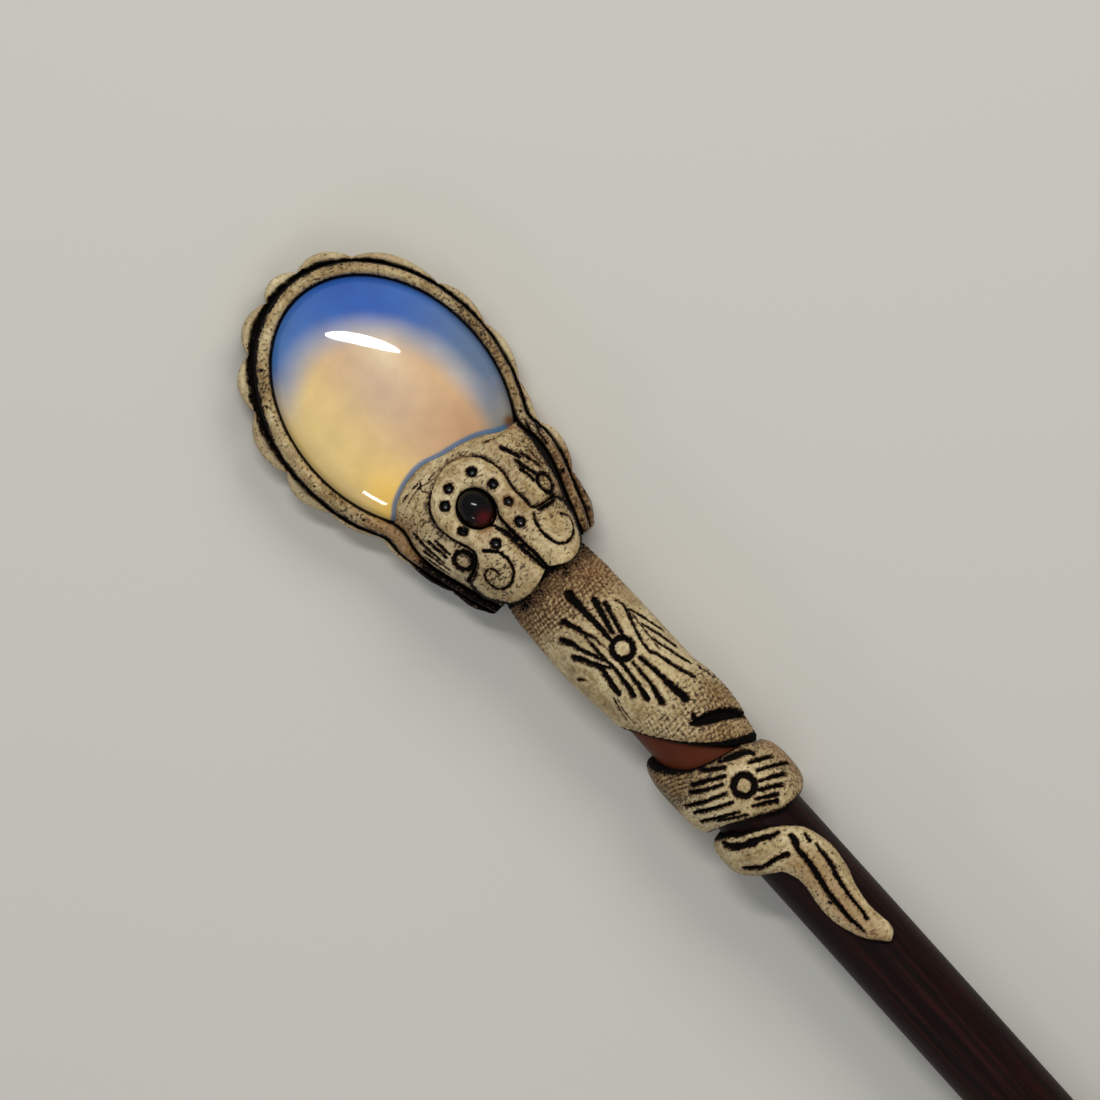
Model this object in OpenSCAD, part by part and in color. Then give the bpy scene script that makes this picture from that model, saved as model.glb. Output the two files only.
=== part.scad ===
// Hair stick: an oval glass stone held by modelled clay at the end of a round wooden stick.
// The origin lies on the resting surface, below the middle of the stone.
// +X runs along the stick to its tip, +Z points away from the resting surface.

/* [Stone] */
// Length of the oval glass stone
stone_l = 29; // [26:0.5:32]
// Width of the oval glass stone
stone_w = 22; // [20:0.5:24]
// Height of the straight edge round the stone
girdle_h = 2.5; // [1.8:0.1:3]
// Height of the dome above the straight edge
dome_h = 4.2; // [3.5:0.1:4.8]

/* [Setting] */
// Thickness of the ledge that the stone lies on
ledge_t = 1.6; // [1:0.1:2]
// How far the ledge reaches under the stone
ledge_w = 1.2; // [0.8:0.1:1.6]
// Width of the bead round the stone
bead_w = 1.45; // [1.2:0.05:1.8]
// Height of the bead above its seat
bead_h = 2.9; // [2.6:0.1:3.3]
// How far the bead reaches over the stone
lip_w = 0.45; // [0.3:0.05:0.6]
// Width of the rim at the foot of a scallop
rim_w = 0.4; // [0.3:0.05:0.6]
// Depth of a scallop
scallop_d = 0.9; // [0.5:0.05:1.2]
// Height of the rim's edge above the bead's seat
rim_h = 0.9; // [0.6:0.1:1.2]
// Length of the setting beyond the stone
neck_reach = 8.1; // [7:0.1:10]

/* [Hood] */
// Width of the hood across its two wings
wing_w = 16.4; // [15.5:0.1:17.4]
// Thickness of the hood over the stone
hood_t = 1; // [0.8:0.1:1.3]
// Height of the hood above the stick
hood_cover = 1.25; // [1:0.05:1.6]
// Height of the crest above the hood
crest_h = 0.95; // [0.7:0.05:1.2]
// Width of a pit in the crest
pit_d = 1.05; // [0.8:0.05:1.2]

/* [Garnet] */
// Length of the oval garnet
garnet_l = 4.1; // [3.6:0.1:4.2]
// Width of the oval garnet
garnet_w = 3.4; // [3:0.1:3.5]
// Depth of the garnet's seat in the hood
garnet_seat = 0.7; // [0.4:0.1:1]
// Height of the garnet above the hood
garnet_h = 1.7; // [1.2:0.1:2]

/* [Stick] */
// Diameter of the wooden stick
stick_d = 8.3; // [7:0.1:9]
// Length of the wooden stick with the end inside the setting
stick_l = 157; // [140:0.5:180]
// Length of the tapered stretch
taper_l = 72; // [50:1:80]
// Diameter of the rounded tip
tip_d = 3; // [2:0.1:4]
// How far the stick's axis lies beside the middle of the stone
stick_shift = 0.3; // [0:0.05:0.5]

/* [Clay wraps] */
// Length of the neck wrap on its long side
neck_l = 26.85; // [24:0.05:30]
// How much shorter the neck wrap is on its short side
neck_slant = 9.7; // [8:0.1:12]
// Thickness of the neck wrap
neck_t = 1.2; // [1:0.05:1.4]
// Length of the coil from its first turn to the end of its tail
coil_l = 29.3; // [28:0.1:32]
// Thickness of the coil
coil_t = 1.8; // [1.6:0.05:2.1]

/* [Clearance] */
// Gap between neighbouring pieces
gap = 0.05; // [0.04:0.01:0.08]

/* [Hidden] */
$fn = 64;

CLAY = "#c9b98e";
CLAY_LIGHT = "#d4c8a2";
CLAY_DARK = "#b6a272";

// Stone and opening
stone_a = stone_l / 2;
stone_b = stone_w / 2;
open_a = stone_a - lip_w;
open_b = stone_b - lip_w;
stone_z = ledge_t + gap;
stone_sides = 48;
stone_rings = 8;
garnet_sides = 28;
garnet_rings = 6;
dome_stop = 84;
girdle_z = stone_z + girdle_h;

// The bead's seat is a little lower than the stone's straight edge
seat_share = 0.8;
seat_z = ledge_t + girdle_h * seat_share;
bead_top = seat_z + bead_h;

// Stick, raised so that the coil rests on the same surface as the setting
stick_r = stick_d / 2;
bore_r = stick_r + gap;
stick_z = bore_r + coil_t;
stick_y = -stick_shift;
butt_gap = 1.7;
stick_x = stone_a + butt_gap;
tip_r = tip_d / 2;

// The setting runs from the stone's far end to the foot of the neck wrap
head_end = stone_a + neck_reach;
neck_x = head_end + gap;
flank_room = 0.05;
end_half = stick_r + neck_t + flank_room;
wing_half = wing_w / 2;

// Half width of the wings as shares from the end's to the widest, evenly spaced from the join to the end
WING_SHARES = [0.43, 0.79, 1, 0.95, 0.75, 0.5, 0.27, 0];
join_share = 0.605;
join_x = open_a * join_share;
join_fade = 5;
join_power = 10;

// The bead and the rim lean a little to one side as they leave the stone's edge
lean_w = 1.55;
lean = [-0.3, -0.42];
bead_foot = lip_w + gap;

// On one side the scalloped edge narrows along the stone, and the bead narrows and sinks beside the hood's wing
edge_slim_from = -stone_a * 0.2;
edge_slim_l = stone_a * 0.85;
edge_share = 0.3;
bead_slim_from = stone_a * 0.72;
bead_slim_l = neck_reach * 0.55;
bead_w_share = 0.3;
bead_h_share = 0.6;

// Where each scallop starts, as shares of the way round the setting
SCALLOPS = [0, 0.075, 0.14, 0.208, 0.27, 0.328, 0.418, 0.48, 0.528, 0.588, 0.645, 0.71, 0.766, 0.82, 0.878, 0.94, 1];
scallop_power = 0.75;
groove_w = 0.08;
flank_steps = 15;
arc_steps = 26;

// Section of the rim. Columns: share of the way in from the scalloped edge, distance further in, height
rim_foot_in = 0.5;
rim_foot_h = 0.7;
rim_top = seat_z + rim_h;
WAY_IN = 0;
FURTHER = 1;
RIM_Z = 2;
RIM_SECTION = [
    [0, rim_foot_in, 0],
    [0, 0, rim_foot_h],
    [0, 0, seat_z],
    [0.3, 0, rim_top],
    [0.65, 0, rim_top],
    [1, 0, seat_z],
];
// Faces of the rim's end: a plate, its top strip and a lobe at each side
// Each corner is a row of the section and a side, 0 where the outline starts and 1 where it ends
RIM_END = [
    [[1, 0], [0, 0], [0, 1], [1, 1]],
    [[1, 0], [1, 1], [2, 1]],
    [[1, 0], [2, 1], [5, 1]],
    [[1, 0], [5, 1], [5, 0]],
    [[1, 0], [5, 0], [2, 0]],
    [[5, 0], [4, 0], [3, 0], [2, 0]],
    [[2, 1], [3, 1], [4, 1], [5, 1]],
];

// Section of the bead's free side, over the top and down to its foot. Columns: shares of its width and height
BEAD_SECTION = [
    [0.16, 0.91],
    [0.36, 0.99],
    [0.56, 1],
    [0.78, 0.91],
    [0.94, 0.72],
    [1, 0.02],
];
// Section of the bead's lip over the stone. Columns: share of the lip's reach, clearances above the stone
BEAD_LIP = [
    [1.1, 1],
    [0.6, 3],
    [0.25, 2],
    [0, 1],
    [-0.03, 6],
];

// Hood: edge over the stone as shares of the opening, evenly spaced from one wing's side to the other's
HOOD_EDGE = [0.655, 0.565, 0.505, 0.484, 0.525, 0.556, 0.605, 0.675, 0.7];
// Height of the hood's middle as shares from over the stone to over the stick, evenly spaced
HOOD_RISE = [0, 0.4, 0.67, 0.84, 0.94, 1];
hood_x = open_a * 0.484;
hood_len = head_end - hood_x;
hood_low = bead_top - 0.5;
hood_power = 2.4;
hood_steps = 14;
wing_steps = 20;
hood_roll = 0.3;
hood_roll_share = 0.12;

// Crest: each row is a rung across the ribbon from its inner to its outer side
// Columns: place along the hood and across it at the inner side, then the same at the outer side
IN_S = 0;
IN_W = 1;
OUT_S = 2;
OUT_W = 3;
CREST_RUNGS = [
    [1.003, 0.08, 1.019, -0.03],
    [0.994, 0.06, 1.051, -0.27],
    [0.968, 0.06, 1.057, -0.55],
    [0.911, 0.04, 1.019, -0.86],
    [0.835, 0.02, 0.918, -1],
    [0.753, 0, 0.829, -0.98],
    [0.677, -0.02, 0.753, -0.9],
    [0.62, -0.06, 0.722, -0.72],
    [0.576, -0.13, 0.671, -0.56],
    [0.545, -0.26, 0.601, -0.51],
    [0.485, -0.34, 0.487, -0.57],
    [0.424, -0.36, 0.335, -0.61],
    [0.356, -0.32, 0.222, -0.55],
    [0.306, -0.22, 0.139, -0.32],
    [0.294, -0.11, 0.101, -0.08],
    [0.316, 0.02, 0.12, 0.13],
    [0.367, 0.1, 0.209, 0.35],
    [0.437, 0.13, 0.342, 0.42],
    [0.506, 0.11, 0.481, 0.4],
    [0.576, 0.05, 0.589, 0.44],
    [0.633, 0.05, 0.677, 0.51],
    [0.69, 0.05, 0.715, 0.86],
    [0.778, 0.07, 0.81, 0.98],
    [0.861, 0.1, 0.911, 1],
    [0.93, 0.12, 1.006, 0.97],
    [0.975, 0.14, 1.063, 0.77],
    [0.994, 0.15, 1.07, 0.49],
    [1.003, 0.16, 1.019, 0.21],
];
crest_steps = 3;
crest_cross = 8;
crest_inset = 0.96;
crest_edge = 0.25;

// Pits in the crest. Columns: place along the hood and across it
PITS = [
    [0.241, 0.14],
    [0.386, 0.24],
    [0.532, 0.26],
    [0.677, 0.22],
    [0.222, -0.21],
    [0.288, -0.39],
    [0.481, -0.42],
    [0.677, -0.23],
];
pit_sink = 0.25;
pit_sides = 20;

// Garnet's place along the hood and across it
garnet_at = [0.434, -0.112];
garnet_foot = 0.9;

// Neck wrap: thickness as shares of its own. Columns: place along it, thickness
NECK_WALL = [[0, 0.55], [0.15, 0.88], [0.4, 1], [0.8, 1], [0.94, 0.95], [0.985, 0.7], [1, 0.4]];
neck_bulge = 1.35;
NECK_PLACES = [0, 0.05, 0.12, 0.25, 0.4, 0.52, 0.62, 0.7, 0.77, 0.84, 0.9, 0.95, 0.985, 1];
neck_swell = 0.65;
swell_at = 0.77;
swell_reach = 0.16;
thin_from = 0.55;
thin_share = 0.55;
neck_sides = 40;

// Coil: each row is a rung across the clay ribbon from its near to its far side
// Columns: place along the coil and angle round the stick at the near side, the same at the far side, thickness
NEAR_X = 0;
NEAR_A = 1;
FAR_X = 2;
FAR_A = 3;
THICK = 4;
COIL_RUNGS = [
    [0.203, 112, 0.244, 112, 0.35],
    [0.155, 140, 0.282, 140, 0.75],
    [0.084, 180, 0.316, 180, 0.95],
    [0.029, 220, 0.329, 220, 1],
    [0, 262, 0.326, 262, 1],
    [0.06, 297, 0.329, 297, 0.99],
    [0.111, 325, 0.35, 325, 0.98],
    [0.138, 352, 0.384, 352, 1],
    [0.159, 384, 0.428, 383, 1],
    [0.176, 415, 0.432, 415, 0.98],
    [0.213, 450, 0.42, 450, 0.97],
    [0.265, 480, 0.425, 480, 0.96],
    [0.305, 512, 0.46, 512, 0.96],
    [0.334, 545, 0.5, 545, 0.98],
    [0.346, 590, 0.51, 590, 1],
    [0.353, 630, 0.507, 630, 1],
    [0.367, 664, 0.544, 661, 0.99],
    [0.394, 682, 0.561, 677, 0.97],
    [0.415, 701, 0.575, 686, 0.96],
    [0.439, 718, 0.589, 694, 0.95],
    [0.469, 732, 0.613, 698, 0.94],
    [0.514, 748, 0.643, 701, 0.92],
    [0.578, 757, 0.684, 701, 0.9],
    [0.64, 760, 0.739, 698, 0.87],
    [0.712, 757, 0.794, 697, 0.84],
    [0.78, 749, 0.848, 700, 0.81],
    [0.852, 745, 0.899, 706, 0.78],
    [0.913, 746, 0.94, 713, 0.74],
    [0.961, 748, 0.971, 722, 0.66],
    [0.988, 745, 0.99, 729, 0.5],
    [1, 738, 1, 734, 0.35],
];
coil_steps = 3;
coil_cross = 8;
coil_edge = 0.3;
coil_back = 5.75;
turn_gap = 0.15;
turn_end = 470;
widest_step = 17;

// Helpers
function lerp(a, b, t) = a + (b - a) * t;
function clamp(v, low, high) = max(low, min(high, v));
function smooth(t) = let (c = clamp(t, 0, 1)) c * c * (3 - 2 * c);
function unit(v) = v / norm(v);
function flat(lists) = [for (l = lists) each l];

// A smooth curve through the rows of a table, where t counts the rows
function through(table, t) =
    let (
        last = len(table) - 1,
        u = clamp(t, 0, last),
        i = min(floor(u), last - 1),
        f = u - i,
        a = table[max(i - 1, 0)],
        b = table[i],
        c = table[i + 1],
        d = table[min(i + 2, last)]
    )
    (2 * b + (c - a) * f + (2 * a - 5 * b + 4 * c - d) * f * f + (3 * b - a - 3 * c + d) * f * f * f) / 2;
function spread(table, share) = through(table, share * (len(table) - 1));

// Straight lines between the rows of a table of places and values
function piecewise(table, s, i = 0) =
    i >= len(table) - 2 || s < table[i + 1].x
        ? lerp(table[i].y, table[i + 1].y, clamp((s - table[i].x) / (table[i + 1].x - table[i].x), 0, 1))
        : piecewise(table, s, i + 1);

// A dome across a ribbon, from 0 at both sides to 1 in the middle
function dome(t, power = 3) = sqrt(max(0, 1 - pow(abs(2 * t - 1), power)));

// Half width of the setting's opening at x: an oval that flows into the wings' flanks
function oval_half(x) = open_b * sqrt(max(0, 1 - pow(x / open_a, 2)));
function wings_half(x) =
    lerp(end_half, wing_half, spread(WING_SHARES, (x - join_x) / (head_end - join_x)))
        * clamp(1 - (join_x - x) / join_fade, 0, 1);
function half_at(x) = pow(pow(oval_half(x), join_power) + pow(wings_half(x), join_power), 1 / join_power);
function mid_at(x) = stick_y * smooth((x - join_x) / (head_end - join_x));
function side_point(x, side) = [x, mid_at(x) + side * half_at(x)];

// The opening's outline from one end of the setting round the stone to the other end
join_angle = acos(join_share);
SIDE_X = concat(
    [for (i = [0:flank_steps - 1]) lerp(head_end, join_x, i / flank_steps)],
    [for (i = [0:arc_steps]) open_a * cos(lerp(join_angle, 180, i / arc_steps))]
);
side_n = len(SIDE_X);
OUTLINE = concat(
    [for (i = [0:side_n - 1]) side_point(SIDE_X[i], 1)],
    [for (i = [side_n - 2:-1:0]) side_point(SIDE_X[i], -1)]
);
outline_n = len(OUTLINE);
function outline_way(i, reach = 2) =
    unit(OUTLINE[min(i + reach, outline_n - 1)] - OUTLINE[max(i - reach, 0)]);

// What a size keeps of itself at a point of the outline, from where it starts to shrink down to the least share
function kept(i, from, length, least) =
    i < side_n ? 1 : lerp(1, least, smooth((OUTLINE[i].x - from) / length));
function bead_kept(i, least) = kept(i, bead_slim_from, bead_slim_l, least);

// A distance from the outline with the bead and the edge narrowed, but not the groove between them
function narrowed(i, off) =
    let (
        groove = min(max(0, off - bead_w), groove_w),
        edge = max(0, off - bead_w - groove_w) * kept(i, edge_slim_from, edge_slim_l, edge_share)
    )
    min(off, bead_foot) + max(0, min(off, bead_w) - bead_foot) * bead_kept(i, bead_w_share) + groove + edge;

// A point at a distance outside the opening's outline, cut off level with the setting's end
function beside(i, off) =
    let (
        way = outline_way(i),
        far = narrowed(i, off),
        p = OUTLINE[i] + far * [way.y, -way.x] + max(0, far - bead_foot) / lean_w * lean
    )
    [i == 0 || i == outline_n - 1 ? head_end : min(p.x, head_end), p.y];

// How far the scalloped edge stands out at a point of the outline
function scallop_share(s, i = 0) =
    s <= SCALLOPS[i + 1] || i >= len(SCALLOPS) - 2
        ? pow(sin(180 * clamp((s - SCALLOPS[i]) / (SCALLOPS[i + 1] - SCALLOPS[i]), 0, 1)), scallop_power)
        : scallop_share(s, i + 1);
function rim_off(i) = bead_w + rim_w + scallop_d * scallop_share(i / (outline_n - 1));

// Heights
function stone_top(p) = girdle_z + dome_h * sqrt(max(0, 1 - pow(p.x / stone_a, 2) - pow(p.y / stone_b, 2)));
hood_over_stone = stone_top([hood_x, 0]) + hood_t;
hood_over_stick = stick_z + stick_r + hood_cover;
function hood_crown(x) = lerp(hood_over_stone, hood_over_stick, spread(HOOD_RISE, (x - hood_x) / hood_len));
function hood_profile(w) = pow(max(0, 1 - pow(min(abs(w), 1), hood_power)), 1 / hood_power);
function hood_height(x, w) = lerp(hood_low, hood_crown(min(x, head_end)), hood_profile(w));

// A place on the hood: s runs along it and w across it
function hood_place(s, w) =
    let (x = hood_x + s * hood_len, xc = min(x, head_end))
    [x, mid_at(xc) + w * half_at(xc)];

// A solid between an upper and a lower grid of points
module sheet(top, bottom) {
    rows = len(top);
    cols = len(top[0]);
    function at(layer, i, j) = layer * rows * cols + i * cols + j;
    function quad(a, b, c, d) = [[a, b, c], [a, c, d]];
    polyhedron(
        points = concat(flat(top), flat(bottom)),
        faces = concat(
            flat([for (i = [0:rows - 2], j = [0:cols - 2])
                quad(at(0, i, j), at(0, i, j + 1), at(0, i + 1, j + 1), at(0, i + 1, j))]),
            flat([for (i = [0:rows - 2], j = [0:cols - 2])
                quad(at(1, i, j), at(1, i + 1, j), at(1, i + 1, j + 1), at(1, i, j + 1))]),
            flat([for (i = [0:rows - 2])
                quad(at(0, i, 0), at(0, i + 1, 0), at(1, i + 1, 0), at(1, i, 0))]),
            flat([for (i = [0:rows - 2])
                quad(at(0, i + 1, cols - 1), at(0, i, cols - 1), at(1, i, cols - 1), at(1, i + 1, cols - 1))]),
            flat([for (j = [0:cols - 2])
                quad(at(0, 0, j + 1), at(0, 0, j), at(1, 0, j), at(1, 0, j + 1))]),
            flat([for (j = [0:cols - 2])
                quad(at(0, rows - 1, j), at(0, rows - 1, j + 1), at(1, rows - 1, j + 1), at(1, rows - 1, j))])
        )
    );
}

// A solid through a list of rings, with flat ends
// Rings that stay open end on one plane, closed by end faces whose corners are a ring and a side
module loft(rings, end_faces = []) {
    last = len(rings) - 1;
    n = len(rings[0]);
    spans = len(end_faces) > 0 ? n - 1 : n;
    function at(k, i) = k * n + (i % n);
    polyhedron(
        points = flat(rings),
        faces = concat(
            [[for (i = [0:n - 1]) at(0, i)]],
            [[for (i = [n - 1:-1:0]) at(last, i)]],
            flat([for (k = [0:last - 1], i = [0:spans - 1])
                [[at(k, i), at(k + 1, i), at(k + 1, i + 1)], [at(k, i), at(k + 1, i + 1), at(k, i + 1)]]]),
            [for (face = end_faces) [for (corner = face) at(corner[0], corner[1] * (n - 1))]]
        )
    );
}

// The corners of an oval
function oval(a, b, sides) = [for (i = [0:sides - 1]) [a * cos(360 * i / sides), b * sin(360 * i / sides)]];

// An oval cabochon: a straight edge below a dome
module cabochon(a, b, edge, dome, sides, rings) {
    function ring(share, z) = [for (p = oval(a * share, b * share, sides)) [p.x, p.y, z]];
    loft(concat(
        [ring(1, 0)],
        [for (k = [0:rings]) let (turn = dome_stop * k / rings)
            ring(cos(turn), edge + dome * sin(turn) / sin(dome_stop))]
    ));
}

// Solids that neighbours are cut by, grown by the clearance
module stone_body(grow = 0) {
    translate([0, 0, stone_z - grow])
        cabochon(stone_a + grow, stone_b + grow, girdle_h + grow, dome_h + grow, stone_sides, stone_rings);
}

module bore(from, to) {
    translate([from, stick_y, stick_z])
        rotate([0, 90, 0])
            cylinder(h = to - from, r = bore_r);
}

module oval_prism(a, b, z0, z1) {
    translate([0, 0, z0])
        linear_extrude(height = z1 - z0)
            polygon(oval(a, b, stone_sides));
}

module garnet_body(grow = 0) {
    place = hood_place(garnet_at.x, garnet_at.y);
    seat = hood_height(place.x, garnet_at.y) - garnet_seat - grow;
    dome = garnet_h + garnet_seat - garnet_foot + grow;
    translate([place.x, place.y, seat])
        cabochon(garnet_l / 2 + grow, garnet_w / 2 + grow, garnet_foot + grow, dome, garnet_sides, garnet_rings);
}

// Round wooden stick with a tapered end and a rounded tip
module stick() {
    straight = stick_l - taper_l;
    color("#4a2a26")
        translate([stick_x, stick_y, stick_z])
            rotate([0, 90, 0])
                union() {
                    cylinder(h = straight, r = stick_r);
                    translate([0, 0, straight])
                        cylinder(h = taper_l - tip_r, r1 = stick_r, r2 = tip_r);
                    translate([0, 0, stick_l - tip_r])
                        sphere(r = tip_r);
                }
}

// Oval glass stone with a flat back
module stone() {
    color("#8fa0c8")
        stone_body();
}

// Back of the setting: a plate with a scalloped edge, open below the stone, with a ledge to carry it
module scalloped_rim() {
    inner = bead_w + groove_w;
    cut_h = 1;
    color(CLAY_DARK)
        difference() {
            loft([for (row = RIM_SECTION) [for (i = [0:outline_n - 1])
                let (p = beside(i, lerp(rim_off(i), inner, row[WAY_IN]) - row[FURTHER]))
                [p.x, p.y, row[RIM_Z]]]], RIM_END);
            oval_prism(stone_a + gap, stone_b + gap, ledge_t, seat_z + cut_h);
            oval_prism(stone_a - ledge_w, stone_b - ledge_w, -cut_h, seat_z + cut_h);
            bore(stick_x - gap, head_end + cut_h);
        }
}

// Rounded bead of clay that holds the stone's edge and runs on along both sides of the hood
module bezel_bead() {
    function lip(i, row) =
        let (p = beside(i, row.x * lip_w))
        [p.x, p.y, stone_top(p) + gap * row.y];
    function side(i, off, rise) =
        let (p = beside(i, off))
        [p.x, p.y, seat_z + gap + rise * bead_kept(i, bead_h_share)];
    color(CLAY_LIGHT)
        loft([for (i = [0:outline_n - 1]) concat(
            [side(i, bead_foot, 0)],
            [for (row = BEAD_LIP) lip(i, row)],
            [for (row = BEAD_SECTION) side(i, bead_w * row.x, bead_h * row.y - gap)]
        )]);
}

// Sheet of clay over the stone's end and the stick's, with a wing at each side
module hood() {
    function across(i) = sin(lerp(90, -90, i / wing_steps));
    function start_x(w) = open_a * spread(HOOD_EDGE, (w + 1) / 2);
    function place(i, j) =
        let (
            w = across(i),
            s = j / hood_steps,
            x = lerp(start_x(w), head_end, s),
            side = half_at(x) - gap,
            roll = hood_roll * pow(clamp(1 - s / hood_roll_share, 0, 1), 2)
        )
        [x, mid_at(x) + side * w, hood_height(x, w) - roll * hood_profile(w)];
    top = [for (i = [0:wing_steps]) [for (j = [0:hood_steps]) place(i, j)]];
    floor_z = seat_z + gap;
    bottom = [for (r = top) [for (p = r) [p.x, p.y, floor_z]]];
    color(CLAY)
        difference() {
            sheet(top, bottom);
            stone_body(gap);
            bore(stick_x - gap, head_end + 1);
            garnet_body(gap);
        }
}

// Ribbon of clay laid on the hood round the garnet, with a scroll at each end and small pits
module crest() {
    rows = (len(CREST_RUNGS) - 1) * crest_steps;
    function base(x, w) = hood_height(x, w * crest_inset) + gap;
    function place(i, j, lift) =
        let (
            rung = through(CREST_RUNGS, i / crest_steps),
            t = j / crest_cross,
            s = lerp(rung[IN_S], rung[OUT_S], t),
            w = lerp(rung[IN_W], rung[OUT_W], t),
            p = hood_place(s, w)
        )
        [p.x, p.y, base(p.x, w) + lift * lerp(crest_edge, crest_h, dome(t))];
    function grid(lift) = [for (i = [0:rows]) [for (j = [0:crest_cross]) place(i, j, lift)]];
    color(CLAY_LIGHT)
        difference() {
            sheet(grid(1), grid(0));
            for (row = PITS) {
                p = hood_place(row.x, row.y);
                translate([p.x, p.y, base(p.x, row.y) + crest_h + pit_sink])
                    sphere(r = pit_d / 2 + pit_sink, $fn = pit_sides);
            }
            garnet_body(gap);
        }
}

// Small oval garnet in its seat in the hood
module garnet() {
    color("#2a0a10")
        garnet_body();
}

// Where the neck wrap ends, at an angle round the stick
function neck_end(a) =
    neck_x + neck_l - neck_slant * (1 - sin(a)) / 2 + neck_bulge * pow(max(0, cos(a)), 2);
function neck_wall(s, a) =
    let (
        swell = neck_swell * max(0, sin(a)) * max(0, 1 - pow((s - swell_at) / swell_reach, 2)),
        thin = 1 - thin_share * max(0, -sin(a)) * smooth((s - thin_from) / (1 - thin_from))
    )
    neck_t * piecewise(NECK_WALL, s) * thin + swell;

// Sleeve of clay from the hood to a slanted lip
module neck_wrap() {
    inside = 0.5;
    cut_l = 1;
    function ring(s, inner) = [for (i = [0:neck_sides - 1])
        let (
            a = -360 * i / neck_sides,
            x = lerp(neck_x, neck_end(a), s),
            r = is_undef(inner) ? bore_r + neck_wall(s, a) : inner
        )
        [x, stick_y + r * sin(a), stick_z + r * cos(a)]];
    middle = neck_x + neck_l - neck_slant / 2;
    plug = [for (p = ring(0, bore_r - 2 * inside)) [middle, p.y, p.z]];
    color(CLAY)
        difference() {
            loft(concat([for (s = NECK_PLACES) ring(s)], [ring(1, bore_r - inside), plug]));
            bore(neck_x - cut_l, neck_end(90) + neck_bulge + cut_l);
        }
}

// Ribbon of clay that winds round the stick and ends in a tail along it
module coil_tail() {
    start = neck_x + neck_l - coil_back;
    rows = (len(COIL_RUNGS) - 1) * coil_steps;
    inner_r = bore_r / cos(widest_step / 2);
    function clear_x(x, a) = a < turn_end ? max(x, neck_end(a) + turn_gap) : x;
    function place(i, j, lift) =
        let (
            rung = through(COIL_RUNGS, i / coil_steps),
            near = clear_x(start + coil_l * rung[NEAR_X], rung[NEAR_A]),
            far = max(start + coil_l * rung[FAR_X], near + turn_gap),
            t = j / coil_cross,
            x = lerp(far, near, t),
            a = lerp(rung[FAR_A], rung[NEAR_A], t),
            wall = (coil_t - inner_r + bore_r) * rung[THICK],
            r = inner_r + lift * wall * lerp(coil_edge, 1, dome(t))
        )
        [x, stick_y + r * sin(a), stick_z + r * cos(a)];
    function grid(lift) = [for (i = [0:rows]) [for (j = [0:coil_cross]) place(i, j, lift)]];
    color(CLAY_LIGHT)
        sheet(grid(1), grid(0));
}

stick();
stone();
scalloped_rim();
bezel_bead();
hood();
crest();
garnet();
neck_wrap();
coil_tail();
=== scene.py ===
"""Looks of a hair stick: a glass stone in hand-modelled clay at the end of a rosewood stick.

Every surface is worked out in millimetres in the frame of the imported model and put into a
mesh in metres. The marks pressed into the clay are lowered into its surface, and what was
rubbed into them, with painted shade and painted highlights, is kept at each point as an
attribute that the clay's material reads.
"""
import logging
import math
from dataclasses import dataclass, field
from enum import Enum
from typing import Callable

import bmesh
import bpy
import numpy as np
from mathutils import Matrix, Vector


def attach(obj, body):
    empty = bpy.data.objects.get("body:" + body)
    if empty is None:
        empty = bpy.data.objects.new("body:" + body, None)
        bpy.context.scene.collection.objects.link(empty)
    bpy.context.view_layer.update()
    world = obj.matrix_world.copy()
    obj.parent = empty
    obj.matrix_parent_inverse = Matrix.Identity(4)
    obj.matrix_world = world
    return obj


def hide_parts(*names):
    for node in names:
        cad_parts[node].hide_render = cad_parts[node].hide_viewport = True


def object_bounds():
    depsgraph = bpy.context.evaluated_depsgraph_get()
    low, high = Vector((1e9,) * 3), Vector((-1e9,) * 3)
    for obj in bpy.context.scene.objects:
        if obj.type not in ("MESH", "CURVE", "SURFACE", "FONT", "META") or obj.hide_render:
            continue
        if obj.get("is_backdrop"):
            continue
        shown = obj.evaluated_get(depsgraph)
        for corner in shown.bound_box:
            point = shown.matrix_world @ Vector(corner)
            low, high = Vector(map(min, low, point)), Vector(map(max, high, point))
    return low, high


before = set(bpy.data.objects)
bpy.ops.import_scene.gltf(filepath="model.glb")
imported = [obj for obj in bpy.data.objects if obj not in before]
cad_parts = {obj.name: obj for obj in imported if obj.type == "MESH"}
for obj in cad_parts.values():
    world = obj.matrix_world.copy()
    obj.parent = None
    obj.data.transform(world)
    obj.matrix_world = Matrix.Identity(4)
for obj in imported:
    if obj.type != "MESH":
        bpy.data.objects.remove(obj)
CAD_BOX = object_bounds()

LOG = logging.getLogger("hair_stick")
Array = np.ndarray
Number = Array | float
Pair = tuple[float, float]
Table = tuple[tuple[float, ...], ...]
Stops = tuple[tuple[float, str], ...]
Material = bpy.types.Material
Object = bpy.types.Object
Socket = bpy.types.NodeSocket
MM = 0.001
INSIDE_MM = 0.002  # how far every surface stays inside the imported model's box


class Ends(Enum):
    """How a grid that is closed round its columns is closed at its first and last row."""

    FAN = "a point in the middle of each end"
    LADDER = "faces from each point to the one opposite"
    JOINED = "the last row is joined to the first"


# Helpers on numbers


def lerp(a: Number, b: Number, t: Number) -> Array:
    """Returns the value at share t of the way from a to b."""
    return a + (b - a) * t


def smooth(t: Number) -> Array:
    """Returns 0 below 0, 1 above 1 and an S-shaped rise between them."""
    c = np.clip(t, 0.0, 1.0)
    return c * c * (3 - 2 * c)


def bell(t: Number) -> Array:
    """Returns a bell that is 1 at 0 and fades to both sides over about 1."""
    return np.exp(-np.square(t))


def spot(x: Array, y: Array, middle: Pair, reach: Pair) -> Array:
    """Returns a bell over an oval: the distance from its middle, each way over its reach."""
    return bell(np.hypot((x - middle[0]) / reach[0], (y - middle[1]) / reach[1]))


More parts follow.
